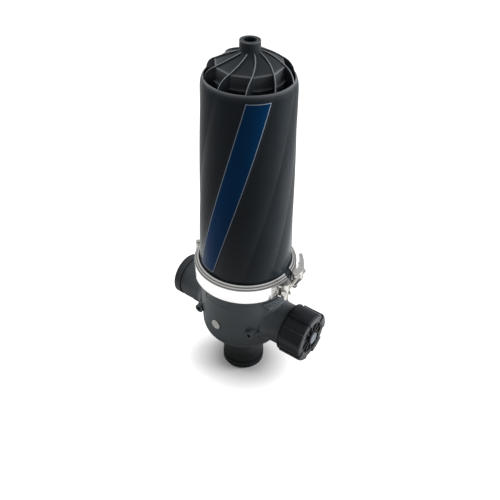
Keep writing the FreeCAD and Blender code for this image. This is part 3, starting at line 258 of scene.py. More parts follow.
@dataclass(frozen=True)
class BasePaintedLight:
    """Painted light on the base: painted highlights on its gusset fins' upper edges and on its
    recessed rectangle's floor, and painted shade between the fins.

    Depths are millimetres below the joint plane, and a pair of them is top and bottom.
    Azimuths are degrees from +X, those of the painted shade at the fins' roots radians.

    Args:
        joint: height of the joint plane.
        root_azimuths: ends of the painted shade at the fins' bottom and top.
        soft_azimuth: half the width over which the painted shade fades, as soft_depth is.
        recess: azimuth of the recess's middle.
        recess_azimuth: half the recess's width.
        floor_margin: how far above its lowest place the recess's floor is marked.
    """

    joint: float
    fins: tuple[float, float] = (32.0, 53.5)
    fin_pitch: float = 6.3
    fin_edge: float = 1.2
    fin_margin: tuple[float, float] = (1.0, 2.5)
    fin_azimuth: float = 34.0
    fin_radii: tuple[float, float] = (92.6, 96.0)
    root_radii: tuple[float, float] = (92.1, 92.9)
    root_azimuths: tuple[float, float] = (0.40, 0.55)
    soft_azimuth: float = 0.01
    soft_depth: float = 0.2
    recess: float = -92.0
    recess_azimuth: float = 20.5
    recess_depths: tuple[float, float] = (28.7, 47.7)
    recess_radius: float = 95.0
    floor_margin: float = 0.3
    # Shares of painted highlight on the fins' upper edges and on the recess's floor.
    fin_highlight: float = 0.7
    floor_highlight: float = 0.16

    def gap(self, graph: Graph) -> Socket:
        """Mask of the painted shade between the fins: near the bowl, between their heights and
        ends.

        Args:
            graph: graph of the group.

        Returns:
            1 in the gaps and 0 elsewhere.
        """
        def around(edge: float, half: float) -> tuple[float, float]:
            """Gives the ends of a span about an edge."""
            return edge - half, edge + half

        x, y, z = graph.parts(graph.place())
        radius, azimuth = graph.round_axis(x, y)
        high, low = ((self.joint - depth) * MM for depth in self.fins)
        root = graph.between(radius, tuple(edge * MM for edge in self.root_radii), 1.0, 0.0)
        end = graph.between(z, (low, high), *self.root_azimuths)
        past = graph.math("SUBTRACT", graph.math("ABSOLUTE", azimuth), end)
        masks = [graph.between(past, around(0.0, self.soft_azimuth), 1.0, 0.0),
                 graph.between(z, around(low, self.soft_depth * MM), 0.0, 1.0),
                 graph.between(z, around(high, self.soft_depth * MM), 1.0, 0.0)]
        for mask in masks:
            root = graph.math("MULTIPLY", root, mask)
        return root

    def paint_highlights(self, mesh: Mesh) -> None:
        """Paints highlights on the upper edges of the fins and on the floor of the recess.

        A vertex is marked by its radius, azimuth and depth below the joint plane.

        Args:
            mesh: mesh of the base.
        """
        place = np.empty(len(mesh.vertices) * 3, np.float32)
        mesh.vertices.foreach_get("co", place)
        x, y, z = place.reshape(-1, 3).T / MM
        radius, azimuth = np.hypot(x, y), np.degrees(np.arctan2(y, x))
        depth = self.joint - z
        top, bottom = self.fins
        near = (depth > top - self.fin_margin[0]) & (depth < bottom + self.fin_margin[1])
        tips = near & (np.abs(azimuth) < self.fin_azimuth)
        tips &= (radius > self.fin_radii[0]) & (radius < self.fin_radii[1])
        edges = tips & ((depth - top) % self.fin_pitch < self.fin_edge)
        inside = (np.abs(azimuth - self.recess) < self.recess_azimuth)
        inside &= (depth > self.recess_depths[0]) & (depth < self.recess_depths[1])
        inside &= radius < self.recess_radius
        floor = inside & (radius < radius[inside].min() + self.floor_margin)
        wear_and_painted_light = mesh.attributes.new(PAINTED_LIGHT, "FLOAT", "POINT")
        base_painted_light = self.fin_highlight * edges + self.floor_highlight * floor
        wear_and_painted_light.data.foreach_set("value", base_painted_light.astype(np.float32))


class DetailGroups:
    """Node groups for surface detail that materials share.

    Scales are features per metre, detail is octaves, and a span is the stretch of a noise
    over which its mask goes from 0 to 1.
    """

    GRAIN_DETAIL = 3.0
    FLOW_SCALE = 14.0
    STREAK_SCALE = 30.0
    BROAD_DETAIL = 2.0
    BROAD_SPAN = (0.3, 0.7)
    ROLLED_DETAIL = 4.0
    ROLLED_SQUEEZE = 0.004
    SPECK_SCALE = 320.0
    SPECK_SPAN = (0.0, 0.12)
    PATCH_SCALE = 22.0
    PATCH_DETAIL = 3.0
    PATCH_SPAN = (0.5, 0.75)

    def __init__(self, base_painted_light: BasePaintedLight) -> None:
        """Makes the groups.

        Args:
            base_painted_light: painted light of the base.
        """
        self.moulded = self._moulded()
        self.brushed = self._brushed()
        self.scuffs = self._scuffs()
        self.fin_gaps = self._fin_gaps(base_painted_light)

    @staticmethod
    def _start(name: str, inputs: Iterable[str], outputs: Iterable[str]) -> Graph:
        """Makes an empty group with float sockets.

        Args:
            name: group name.
            inputs: names of its inputs.
            outputs: names of its outputs.

        Returns:
            A graph to fill the group with.
        """
        tree = bpy.data.node_groups.new(name, "ShaderNodeTree")
        for direction, labels in (("INPUT", inputs), ("OUTPUT", outputs)):
            for label in labels:
                tree.interface.new_socket(label, in_out=direction,
                                          socket_type="NodeSocketFloat")
        return Graph(tree)

    def _broad(self, graph: Graph, place: Socket, scale: float) -> Socket:
        """Gives the socket of slow variation, which is noise of few octaves, stretched."""
        noise = graph.noise(place, scale, self.BROAD_DETAIL)
        return graph.between(noise, self.BROAD_SPAN, 0.0, 1.0)

    def _moulded(self) -> bpy.types.NodeTree:
        """Fine spark-eroded grain with slow flow marks, both noise in space.

        Returns:
            The group.
        """
        graph = self._start("moulded_grain", ["Grain"], ["Height", "Flow"])
        grain = graph.add("NodeGroupInput").outputs["Grain"]
        place = graph.place()
        graph.add("NodeGroupOutput", {
            "Height": graph.noise(place, grain, self.GRAIN_DETAIL),
            "Flow": self._broad(graph, place, self.FLOW_SCALE)})
        return graph.tree

    def _brushed(self) -> bpy.types.NodeTree:
        """Rolling marks that run round the axis: noise in squeezed angle, radius and height.

        Returns:
            The group.
        """
        graph = self._start("rolled_marks", ["Grain"], ["Height", "Streak"])
        grain = graph.add("NodeGroupInput").outputs["Grain"]
        place = graph.place()
        x, y, z = graph.parts(place)
        radius, azimuth = graph.round_axis(x, y)
        along = graph.math("MULTIPLY", azimuth, self.ROLLED_SQUEEZE)
        rolled = graph.add("ShaderNodeCombineXYZ", {0: along, 1: radius, 2: z}).outputs[0]
        graph.add("NodeGroupOutput", {
            "Height": graph.noise(rolled, grain, self.ROLLED_DETAIL),
            "Streak": self._broad(graph, place, self.STREAK_SCALE)})
        return graph.tree

    def _scuffs(self) -> bpy.types.NodeTree:
        """Sparse scuffs and dust specks from handling: cells within patches of noise.

        Returns:
            The group.
        """
        graph = self._start("handling", [], ["Scuff", "Dust"])
        place = graph.place()
        cells = graph.add("ShaderNodeTexVoronoi", {"Vector": place, "Scale": self.SPECK_SCALE})
        specks = graph.between(cells.outputs["Distance"], self.SPECK_SPAN, 1.0, 0.0)
        noise = graph.noise(place, self.PATCH_SCALE, self.PATCH_DETAIL)
        patches = graph.between(noise, self.PATCH_SPAN, 0.0, 1.0)
        dust = graph.math("MULTIPLY", specks, patches)
        graph.add("NodeGroupOutput", {"Scuff": patches, "Dust": dust})
        return graph.tree

    def _fin_gaps(self, base_painted_light: BasePaintedLight) -> bpy.types.NodeTree:
        """Painted shade between the gusset fins.

        Args:
            base_painted_light: painted light of the base.

        Returns:
            The group.
        """
        graph = self._start("fin_gaps", [], ["Gap"])
        graph.add("NodeGroupOutput", {"Gap": base_painted_light.gap(graph)})
        return graph.tree


class MaterialLibrary:
    """Builds one node material for each finish.

    A span of shares is what slow variation makes of a value, from its lowest to its highest.
    """

    COLOUR_SPREAD = (0.88, 1.12)
    ROUGHNESS_SPREAD = (0.9, 1.12)
    SCUFF_ROUGHNESS = 0.08
    BORDER_COLOUR = (0.33, 0.35, 0.37)
    # Painted shade on the base: darker with distance from a point in the bowl, towards the necks'
    # ends.
    FADE_CENTRE = (0.0, 0.0, 0.2)
    FADE_SPAN = (0.1, 0.17)
    # Painted shade between the gusset fins: its share and colour.
    GAP_SHADE = 0.92
    GAP_SHADE_COLOUR = (0.004, 0.004, 0.004)
    DUST_SHARE = 0.25
    DUST_COLOUR = (0.3, 0.29, 0.27)

    def __init__(self, groups: DetailGroups) -> None:
        """Keeps the node groups and starts with no material made."""
        self.groups = groups
        self.made: dict[str, bpy.types.Material] = {}

    def get(self, name: str) -> bpy.types.Material:
        """Gives a finish's material, made on first use.

        Args:
            name: finish name.

        Returns:
            The material.
        """
        if name not in self.made:
            self.made[name] = self._build(FINISHES[name])
        return self.made[name]

    def _build(self, finish: Finish) -> bpy.types.Material:
        """Makes the material of one finish.

        Args:
            finish: colour and surface.

        Returns:
            The material.
        """
        material = bpy.data.materials.new(finish.name)
        graph = Graph.of(material)
        metal = finish.texture is Texture.BRUSHED
        group = self.groups.brushed if metal else self.groups.moulded
        detail = graph.add("ShaderNodeGroup", {"Grain": finish.grain}, node_tree=group).outputs
        handling = graph.add("ShaderNodeGroup", node_tree=self.groups.scuffs).outputs
        slow = detail["Streak" if metal else "Flow"]
        spread = graph.between(slow, (0.0, 1.0),
                               *(finish.roughness * share for share in self.ROUGHNESS_SPREAD))
        wear_and_painted_light = graph.math("MULTIPLY", handling["Scuff"], self.SCUFF_ROUGHNESS * finish.wear)
        bump = graph.add("ShaderNodeBump", {
            "Strength": 1.0, "Distance": finish.bump, "Height": detail["Height"]})
        shader = graph.add("ShaderNodeBsdfPrincipled", {
            "Metallic": float(metal),
            "Specular IOR Level": finish.specular,
            "Base Color": self._colour(graph, finish, slow, handling["Dust"]),
            "Roughness": graph.math("ADD", spread, wear_and_painted_light),
            "Normal": bump.outputs["Normal"]})
        graph.add("ShaderNodeOutputMaterial", {"Surface": shader.outputs[0]})
        return material

    def _colour(self, graph: Graph, finish: Finish, slow: Socket, specks: Socket) -> Socket:
        """Base colour with slow variation, painted shade, painted highlights, dust and the
        sticker's border.

        Args:
            graph: graph of the material.
            finish: colour and surface.
            slow: slow variation from 0 to 1.
            specks: mask of the dust specks.

        Returns:
            The colour's socket.
        """
        dark, light = (tuple(min(1.0, channel * share) for channel in finish.colour)
                       for share in self.COLOUR_SPREAD)
        colour = graph.mix(slow, dark, light)
        if finish.texture is Texture.FILM:
            colour = graph.mix(Label.border_mask(graph), colour, self.BORDER_COLOUR)
        # Painted shade: the base darkens away from the bowl, and nearly black between the fins.
        if finish.fade < 1.0:
            away = graph.add("ShaderNodeVectorMath", {0: graph.place(), 1: self.FADE_CENTRE},
                             operation="DISTANCE").outputs["Value"]
            lost = graph.between(away, self.FADE_SPAN, 0.0, 1.0 - finish.fade)
            colour = graph.mix(lost, colour, (0.0, 0.0, 0.0))
            # Painted shade between the gusset fins.
            gaps = graph.add("ShaderNodeGroup", node_tree=self.groups.fin_gaps).outputs["Gap"]
            painted_shade = graph.math("MULTIPLY", gaps, self.GAP_SHADE)
            colour = graph.mix(painted_shade, colour, self.GAP_SHADE_COLOUR)
        # Painted highlights, and painted shade in the band's grooves, from a vertex attribute.
        marked = graph.add("ShaderNodeAttribute", attribute_name=PAINTED_LIGHT).outputs["Fac"]
        colour = graph.mix(marked, colour, finish.rubbed)
        dust = graph.math("MULTIPLY", specks, self.DUST_SHARE * finish.wear)
        return graph.mix(dust, colour, self.DUST_COLOUR)


@dataclass
class Grid:
    """Surface given by rows and columns of points.

    Args:
        points: array of rows, columns and three coordinates, in millimetres.
        close_rows: the last row joins the first.
        close_columns: the last column joins the first.
        cap_ends: flat faces close the first and last column of a closed-row grid.
        uv: array of rows, columns and two coordinates.
        rubbed: array of rows and columns, 1 where the finish's colour of painted highlight or
            painted shade covers.
    """

    points: np.ndarray
    close_rows: bool = False
    close_columns: bool = False
    cap_ends: bool = False
    uv: Optional[np.ndarray] = None
    rubbed: Optional[np.ndarray] = None

    def numbers(self) -> np.ndarray:
        """Gives the vertex numbers as an array of rows and columns."""
        shape = self.points.shape[:2]
        return np.arange(shape[0] * shape[1]).reshape(shape)

    def faces(self) -> np.ndarray:
        """Vertex numbers of each four-sided face.

        Returns:
            Array of faces by four.
        """
        numbers = self.numbers()
        if self.close_rows:
            numbers = np.vstack([numbers, numbers[:1]])
        if self.close_columns:
            numbers = np.hstack([numbers, numbers[:, :1]])
        sides = [numbers[:-1, :-1], numbers[1:, :-1], numbers[1:, 1:], numbers[:-1, 1:]]
        return np.stack(sides, axis=-1).reshape(-1, 4)


def signed_volume(points: np.ndarray, faces: np.ndarray) -> float:
    """Volume inside a closed mesh of four-sided faces, negative if its normals point inward.

    Args:
        points: array of points.
        faces: vertex numbers.

    Returns:
        The signed volume: a sixth of the sum of a·(b×c) + a·(c×d) over the faces.
    """
    a, b, c, d = (points[faces[:, corner]] for corner in range(4))
    first = np.einsum("ij,ij->i", a, np.cross(b, c)).sum()
    second = np.einsum("ij,ij->i", a, np.cross(c, d)).sum()
    return float(first + second) / 6.0


def around_axis(radius: np.ndarray, angle: np.ndarray, height: np.ndarray) -> np.ndarray:
    """Points at radius times cosine and sine of an angle in radians, and at a height."""
    radius, angle, height = np.broadcast_arrays(radius, angle, height)
    return np.stack([radius * np.cos(angle), radius * np.sin(angle), height], axis=-1)


def placed(name: str, data: bpy.types.ID) -> Object:
    """Puts a mesh, light or camera into the scene.

    Args:
        name: object name.
        data: what the object shows.

    Returns:
        The object.
    """
    thing = bpy.data.objects.new(name, data)
    bpy.context.scene.collection.objects.link(thing)
    return thing


class PieceMaker:
    """Turns grids and CAD nodes into finished objects that ride on the frame."""

    SHARP_ANGLE = math.radians(32.0)
    WELD_DISTANCE = 1e-6
    BEVEL_SEGMENTS = 2

    def __init__(self, materials: MaterialLibrary) -> None:
        """Keeps the library to dress pieces from."""
        self.materials = materials

    def piece(self, name: str, grids: Sequence[Grid], slot: str, body: str,
              replaces: Sequence[str] = (), sharp: float = 40.0) -> Object:
        """Makes an object from grids.

        Args:
            name: object name.
            grids: closed surfaces of the piece.
            slot: material slot, which is also the finish.
            body: CAD body that it rides on.
            replaces: CAD nodes that it stands for.
            sharp: angle in degrees above which an edge stays sharp.

        Returns:
            The object.
        """
        points, faces, ends, uvs, rubbed = [], [], [], [], []
        offset = 0
        for grid in grids:
            flat, own, numbers = grid.points.reshape(-1, 3), grid.faces(), grid.numbers()
            first, last = numbers[:, 0], numbers[::-1, -1]
            if signed_volume(flat - flat.mean(0), own) < 0:
                own, first, last = own[:, ::-1], first[::-1], last[::-1]
            if grid.cap_ends:
                ends += [first + offset, last + offset]
            points.append(flat)
            faces.append(own + offset)
            uvs.append(np.zeros((len(flat), 2)) if grid.uv is None else grid.uv.reshape(-1, 2))
            rubbed.append(np.zeros(len(flat)) if grid.rubbed is None else grid.rubbed.ravel())
            offset += len(flat)
        mesh = self._mesh(name, np.vstack(points) * MM, np.vstack(faces), ends, np.vstack(uvs))
        # Vertex attribute of painted highlights and painted shade.
        wear_and_painted_light = mesh.attributes.new(PAINTED_LIGHT, "FLOAT", "POINT")
        wear_and_painted_light.data.foreach_set("value", np.concatenate(rubbed).astype(np.float32))
        mesh.set_sharp_from_angle(angle=math.radians(sharp))
        return self._finish(name, mesh, slot, body, replaces)

    @staticmethod
    def _mesh(name: str, points: np.ndarray, faces: np.ndarray, ends: Sequence[np.ndarray],
              uvs: np.ndarray) -> Mesh:
        """Makes a mesh from arrays, with one UV for each vertex.

        Args:
            name: mesh name.
            points: points in metres.
            faces: vertex numbers of four-sided faces.
            ends: vertex numbers of the end faces.
            uvs: texture coordinates.

        Returns:
            The mesh.
        """
        mesh = bpy.data.meshes.new(name)
        corners = np.concatenate([faces.ravel(), *ends])
        counts = np.array([4] * len(faces) + [len(end) for end in ends], int)
        starts = np.concatenate([[0], np.cumsum(counts)[:-1]])
        mesh.vertices.add(len(points))
        mesh.vertices.foreach_set("co", points.astype(np.float32).ravel())
        mesh.loops.add(len(corners))
        mesh.loops.foreach_set("vertex_index", corners.astype(np.int32))
        mesh.polygons.add(len(counts))
        mesh.polygons.foreach_set("loop_start", starts.astype(np.int32))
        mesh.polygons.foreach_set("use_smooth", np.ones(len(counts), bool))
        layer = mesh.uv_layers.new(name="UVMap")
        layer.data.foreach_set("uv", uvs[corners].astype(np.float32).ravel())
        mesh.update(calc_edges=True)
        mesh.validate()
        return mesh

    def _finish(self, name: str, mesh: Mesh, slot: str, body: str,
                replaces: Sequence[str]) -> Object:
        """Puts a mesh into the scene with its material and body, hides the CAD nodes it stands for
        and logs them.

        Args:
            name: object name.
            mesh: the mesh.
            slot: material slot.
            body: CAD body.
            replaces: CAD nodes that it stands for.

        Returns:
            The object.
        """
        mesh.materials.clear()
        mesh.materials.append(self.materials.get(slot))
        piece = placed(name, mesh)
        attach(piece, body)
        if replaces:
            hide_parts(*replaces)
        LOG.info("%s: on %s, %s, for %s", name, body, slot, ", ".join(replaces) or "no node")
        return piece

    def softened(self, node: Object, slot: str, body: str, width: float) -> Object:
        """Stands a copy of a CAD node with joined corners and rounded edges in its place.

        Args:
            node: CAD node.
            slot: material slot.
            body: CAD body of the node.
            width: width of the rounding in millimetres.

        Returns:
            The object.
        """
        name = node.name + "_soft"
        mesh = node.data.copy()
        mesh.name = name
        self._weld(mesh)
        piece = self._finish(name, mesh, slot, body, [node.name])
        bevel = piece.modifiers.new("rounding", "BEVEL")
        bevel.width = width * MM
        bevel.segments = self.BEVEL_SEGMENTS
        bevel.limit_method = "ANGLE"
        bevel.angle_limit = self.SHARP_ANGLE
        bevel.harden_normals = False
        piece.modifiers.new("normals", "WEIGHTED_NORMAL").keep_sharp = True
        return piece

    def _weld(self, mesh: Mesh) -> None:
        """Joins vertices at the same place and marks smooth shading with sharp corners.

        Args:
            mesh: the mesh.
        """
        work = bmesh.new()
        work.from_mesh(mesh)
        bmesh.ops.remove_doubles(work, verts=work.verts, dist=self.WELD_DISTANCE)
        work.to_mesh(mesh)
        work.free()
        if "custom_normal" in mesh.attributes:
            mesh.attributes.remove(mesh.attributes["custom_normal"])
        mesh.polygons.foreach_set("use_smooth", np.ones(len(mesh.polygons), bool))
        mesh.set_sharp_from_angle(angle=self.SHARP_ANGLE)
        mesh.update()


def arc(start: np.ndarray, pull: np.ndarray, end: np.ndarray, share: np.ndarray) -> np.ndarray:
    """Quadratic curve: start (1 - s)² + pull 2 s (1 - s) + end s², with s the share."""
    return start * (1 - share) ** 2 + pull * 2 * share * (1 - share) + end * share ** 2


def rounded_path(corners: np.ndarray, step: float, closed: bool, stations: int = 5) -> np.ndarray:
    """Polyline through corners, with each corner eased by a quadratic curve.

    The easing reaches its length, or just under half the way to the next corner where that is
    less.

    Args:
        corners: array of corners; the last column is the easing length, the first two are the
            plane's coordinates and any others are values that go along.
        step: longest distance between stations.
        closed: the path comes back to its start.
        stations: stations on each eased corner.

    Returns:
        Array of stations without the easing column.
    """
    count = len(corners)
    values, ease = corners[:, :-1], corners[:, -1]
    share = np.linspace(0.0, 1.0, stations)[:, None]
    pieces = []
    for index, here in enumerate(values):
        ends = not closed and index in (0, count - 1)
        if ends or ease[index] <= 0:
            pieces.append(here[None, :])
            continue
        before, after = values[index - 1] - here, values[(index + 1) % count] - here
        back, onward = (np.linalg.norm(way[:2]) for way in (before, after))
        reach = min(ease[index], LONGEST_EASING * back, LONGEST_EASING * onward)
        pieces.append(arc(here + before * reach / back, here, here + after * reach / onward, share))
    path = np.vstack(pieces + [pieces[0][:1]] if closed else pieces)
    return subdivided(path, step, closed)


def subdivided(path: np.ndarray, step: float, closed: bool) -> np.ndarray:
    """Adds stations on long runs.

    Args:
        path: array of stations.
        step: longest distance between stations.
        closed: the last station repeats the first and is dropped.

    Returns:
        Array of stations.
    """
    runs = np.diff(path, axis=0)
    counts = np.maximum(1, np.ceil(np.linalg.norm(runs[:, :2], axis=1) / step).astype(int))
    parts = [start + run * (np.arange(count) / count)[:, None]
             for start, run, count in zip(path, runs, counts)]
    return np.vstack(parts if closed else parts + [path[-1:]])


@dataclass
class Cover:
    """Tall cover: ten twisted convex panels, a rounded rim, a moat and a faceted crown.

    Args:
        low: height of the joint plane.
        top: height of the nozzle's end.
        flange_radius: outer radius of the flange inside the band.
    """

    low: float
    top: float
    flange_radius: float
    flange_rise: float = 15.7
    panels: int = 10
    dip: float = 1.2
    twist: float = 0.192
    crease: float = 13.6
    foot_radius: float = 90.6
    foot_height: float = 289.1
    foot_step: float = 1.0
    taper: float = 0.0258
    shoulder: float = 647.0
    rim_height: float = 667.0
    rim_radius: float = 76.6
    moat_radius: float = 74.6
    moat_floor: float = 640.0
    ledge_radius: float = 61.2
    vertex_radius: float = 58.2
    vertex_azimuth: float = -12.9
    edge_height: float = 687.5
    edge_band: float = 1.6
    crown_radius: float = 19.0
    crown_height: float = 706.5
    crown_bulge: float = 1.6
    nozzle_radius: float = 17.4
    nozzle_foot: float = 3.0
    bore_radius: float = 10.5
    wall: float = 5.0
    station_step: float = 8.0
    columns_per_panel: int = 32
    column_bunching: float = 0.75
    crease_easing: float = 0.07
    # Painted highlight along the crown's facet corners: its width and share.
    seam_width: float = 0.07
    seam_highlight: float = 0.25
    rib_sweep: float = 26.0
    rib_start: float = 3.6
    rib_width: float = 3.0
    rib_rise: float = 2.4
    rib_bulge: float = 3.4
    rib_end: float = 0.6
    rib_sink: float = 0.5
    rib_root: float = 1.0
    rib_stations: tuple[int, int] = (24, 20)
    rib_steps: int = 9
    # Painted highlight on the ribs' tops: least and most share.
    rib_highlight: tuple[float, float] = (0.02, 0.95)

    def turn_at(self, height: float | np.ndarray) -> float | np.ndarray:
        """Turn of the creases in degrees, the twist times the way down from the rim."""
        return -self.twist * (self.rim_height - height)

    def lobe(self, phase: np.ndarray) -> np.ndarray:
        """Share of the dip at a phase of the panel.

        The share is the square of the distance from the panel's middle, which is a shallow
        arc, and within the easing it bends to level at the crease, so the crease is rounded.

        Args:
            phase: 0 and 1 at the creases, 0.5 in the middle.

        Returns:
            0 in the middle to nearly 1 at the crease.
        """
        distance = np.abs(phase - 0.5) * 2
        start = 1 - self.crease_easing
        past = np.maximum(distance - start, 0)
        eased = start ** 2 + 2 * start * (past - past ** 2 / (2 * self.crease_easing))
        return np.where(distance < start, distance ** 2, eased)

    def facet(self, phase: np.ndarray) -> np.ndarray:
        """Radius of a flat side: cosine of half its angle, by that of the angle off its middle."""
        half = math.pi / self.panels
        return math.cos(half) / np.cos((phase - 0.5) * 2 * half)

    def phases(self) -> np.ndarray:
        """Phases of one panel's columns: even ones less a sine, so closer near the creases."""
        even = np.arange(self.columns_per_panel) / self.columns_per_panel
        return even - self.column_bunching * np.sin(2 * math.pi * even) / (2 * math.pi)

    def crown_at(self, radius: float | np.ndarray) -> float | np.ndarray:
        """Height of the crown: a straight slope plus a parabola.

        Args:
            radius: distance from the axis.

        Returns:
            The height.
        """
        share = (radius - self.crown_radius) / (self.vertex_radius - self.crown_radius)
        fall = (self.crown_height - self.edge_height) * share
        return self.crown_height - fall + self.crown_bulge * 4 * share * (1 - share)

    def wall_corners(self) -> list[list[float]]:
        """Corners of the panelled wall, from its foot over the rounded shoulder to the rim.

        Returns:
            Rows as in corners.
        """
        radius = self.foot_radius - self.taper * (self.shoulder - self.foot_height)
        middle, upper = (self.shoulder + share * (self.rim_height - self.shoulder)
                         for share in (0.45, 0.8))
        # The sixth number of each row is its share of painted highlight.
        return [
            [self.foot_radius, self.foot_height + 0.3, 1, 0, self.turn_at(self.foot_height),
             0, 0.0],
            [radius, self.shoulder, 1, 0, self.turn_at(self.shoulder), 0, 5.0],
            [radius - 0.8, middle, 0.8, 0, self.turn_at(middle), 0, 4.0],
            [radius - 2.5, upper, 0.4, 0, self.turn_at(upper), 0.07, 3.0],
            [self.rim_radius, self.rim_height, 0, 0, 0, 0.5, 1.8],
        ]

    def crown_corners(self, turn: float) -> list[list[float]]:
        """Corners from the ledge over the faceted crown and the nozzle to the roof inside.

        Args:
            turn: turn of the crown in degrees.

        Returns:
            Rows as in corners.
        """
        inner = self.vertex_radius - 3.0 - self.wall
        span = self.vertex_radius - self.crown_radius
        middle, quarter = (self.crown_radius + share * span for share in (0.5, 0.75))
        # radius, height, facet share, painted highlight share, easing
        rows = [
            (self.ledge_radius, self.moat_floor, 0, 0, 1.2),
            (self.ledge_radius, self.rim_height - 1.2, 0, 0, 0.7),
            (self.ledge_radius, self.rim_height, 0, 0.32, 0.7),
            (self.vertex_radius + 1.2, self.rim_height, 0, 0.2, 0.6),
            (self.vertex_radius, self.rim_height + 0.8, 1, 0.06, 0.6),
            (self.vertex_radius, self.edge_height - self.edge_band, 1, 0.12, 0.6),
            (self.vertex_radius, self.edge_height, 1, 0.6, 1.2),
            (self.vertex_radius - 2.5, self.edge_height + self.edge_band, 0.95, 0.1, 1.2),
            (quarter, self.crown_at(quarter), 0.5, 0.07, 6.0),
            (middle, self.crown_at(middle), 0.2, 0.05, 8.0),
            (self.crown_radius + 1.6, self.crown_height - 0.5, 0, 0.04, 2.2),
            (self.nozzle_radius, self.crown_height + self.nozzle_foot, 0, 0.02, 2.0),
            (self.nozzle_radius, self.top - 2.2, 0, 0.04, 0.6),
            (self.nozzle_radius, self.top, 0, 0.4, 1.2),
            (self.nozzle_radius - 2.4, self.top, 0, 0.05, 0.6),
            (self.bore_radius, self.top, 0, 0.14, 1.0),
            (self.bore_radius, self.top - 2.5, 0, 0, 0.6),
            (self.bore_radius, self.crown_height - self.wall, 0, 0, 1.0),
            (inner, self.edge_height - self.wall, 0, 0, 1.0),
            (inner, self.moat_floor - self.wall, 0, 0, 1.0),
        ]
        return [[radius, height, 0, facet, turn, rubbed, ease]
                for radius, height, facet, rubbed, ease in rows]

    def corners(self) -> np.ndarray:
        """Corners of the half section.

        Columns are radius, height, lobe share, facet share, turn in degrees, painted highlight
        share and easing.

        Returns:
            The corners, once round the wall.
        """
        crown_turn = (self.vertex_azimuth - self.crease) % (360.0 / self.panels)
        foot_turn = self.turn_at(self.foot_height)
        inside = self.foot_radius - self.wall
        return np.array([
            [self.flange_radius, self.low, 0, 0, foot_turn, 0, 0.6],
            [self.flange_radius, self.low + self.flange_rise, 0, 0, foot_turn, 0, 0.6],
            [self.foot_radius + self.foot_step, self.foot_height, 0, 0, foot_turn, 0, 0.0],
            *self.wall_corners(),
            [self.moat_radius, self.rim_height, 0, 0, 0, 0.7, 0.7],
            [self.moat_radius, self.rim_height - 1.5, 0, 0, 0, 0, 0.7],
            [self.moat_radius, self.moat_floor, 0, 0, crown_turn * 0.4, 0, 1.2],
            *self.crown_corners(crown_turn),
            [self.rim_radius - self.wall, self.moat_floor - self.wall, 0, 0,
             self.turn_at(self.shoulder), 0, 1.0],
            [inside, self.foot_height, 0, 0, foot_turn, 0, 1.0],
            [inside, self.low, 0, 0, foot_turn, 0, 0.6],
        ])

    def grid(self) -> Grid:
        """The whole cover as one closed surface.

        The radius at a station is its own radius less the dip times the lobe share, scaled
        towards a flat side by the facet share. The azimuth turns with the height, so that a
        column follows its crease.

        Returns:
            The grid.
        """
        stations = rounded_path(self.corners(), self.station_step, closed=True)
        radius, height, lobe, facet, turn, rubbed = stations.T[:, :, None]
        phase = np.tile(self.phases(), self.panels)
        panel = np.repeat(np.arange(self.panels), self.columns_per_panel)
        azimuth = np.radians(self.crease + (panel + phase) * 360.0 / self.panels)
        reach = radius - self.dip * lobe * self.lobe(phase)
        reach = reach * (1 - facet * (1 - self.facet(phase)))
        # Painted highlight along the crown's facet corners, added to the stations' painted
        # highlight.
        past = np.abs(phase - 0.5) * 2 - (1 - self.seam_width)
        seam = facet * np.clip(past / self.seam_width, 0, 1) * self.seam_highlight
        return Grid(around_axis(reach, azimuth + np.radians(turn), height), close_rows=True,
                    close_columns=True, rubbed=np.clip(rubbed + seam, 0, 1))

    def skin_at(self, height: np.ndarray) -> tuple[np.ndarray, np.ndarray]:
        """Outer surface between foot and rim.

        Args:
            height: heights.

        Returns:
            Radius in a panel's middle and lobe share.
        """
        stations = rounded_path(np.array(self.wall_corners()), 2.0, closed=False)
        radius, heights, lobe = stations.T[:3]
        return np.interp(height, heights, radius), np.interp(height, heights, lobe)

    def rib_line(self) -> tuple[np.ndarray, np.ndarray]:
        """Upper line of a rib: along the crown, then a quadratic arch over the moat.

        The arch's middle stands off its chord by the bulge.

        Returns:
            Radii and heights.
        """
        flat, arched = self.rib_stations
        inside = np.linspace(self.nozzle_radius - self.rib_root, self.vertex_radius, flat)
        on_crown = self.crown_at(np.maximum(inside, self.crown_radius)) + self.rib_rise
        start = np.array([self.vertex_radius, self.edge_height + self.rib_rise])
        end = np.array([self.rim_radius - self.rib_end, self.rim_height + self.rib_end])
        chord = (start - end) / np.linalg.norm(start - end)
        pull = (start + end) / 2 + 2 * self.rib_bulge * np.array([chord[1], -chord[0]])
        arch = arc(start, pull, end, np.linspace(0.0, 1.0, arched)[1:, None])
        return np.concatenate([inside, arch[:, 0]]), np.concatenate([on_crown, arch[:, 1]])

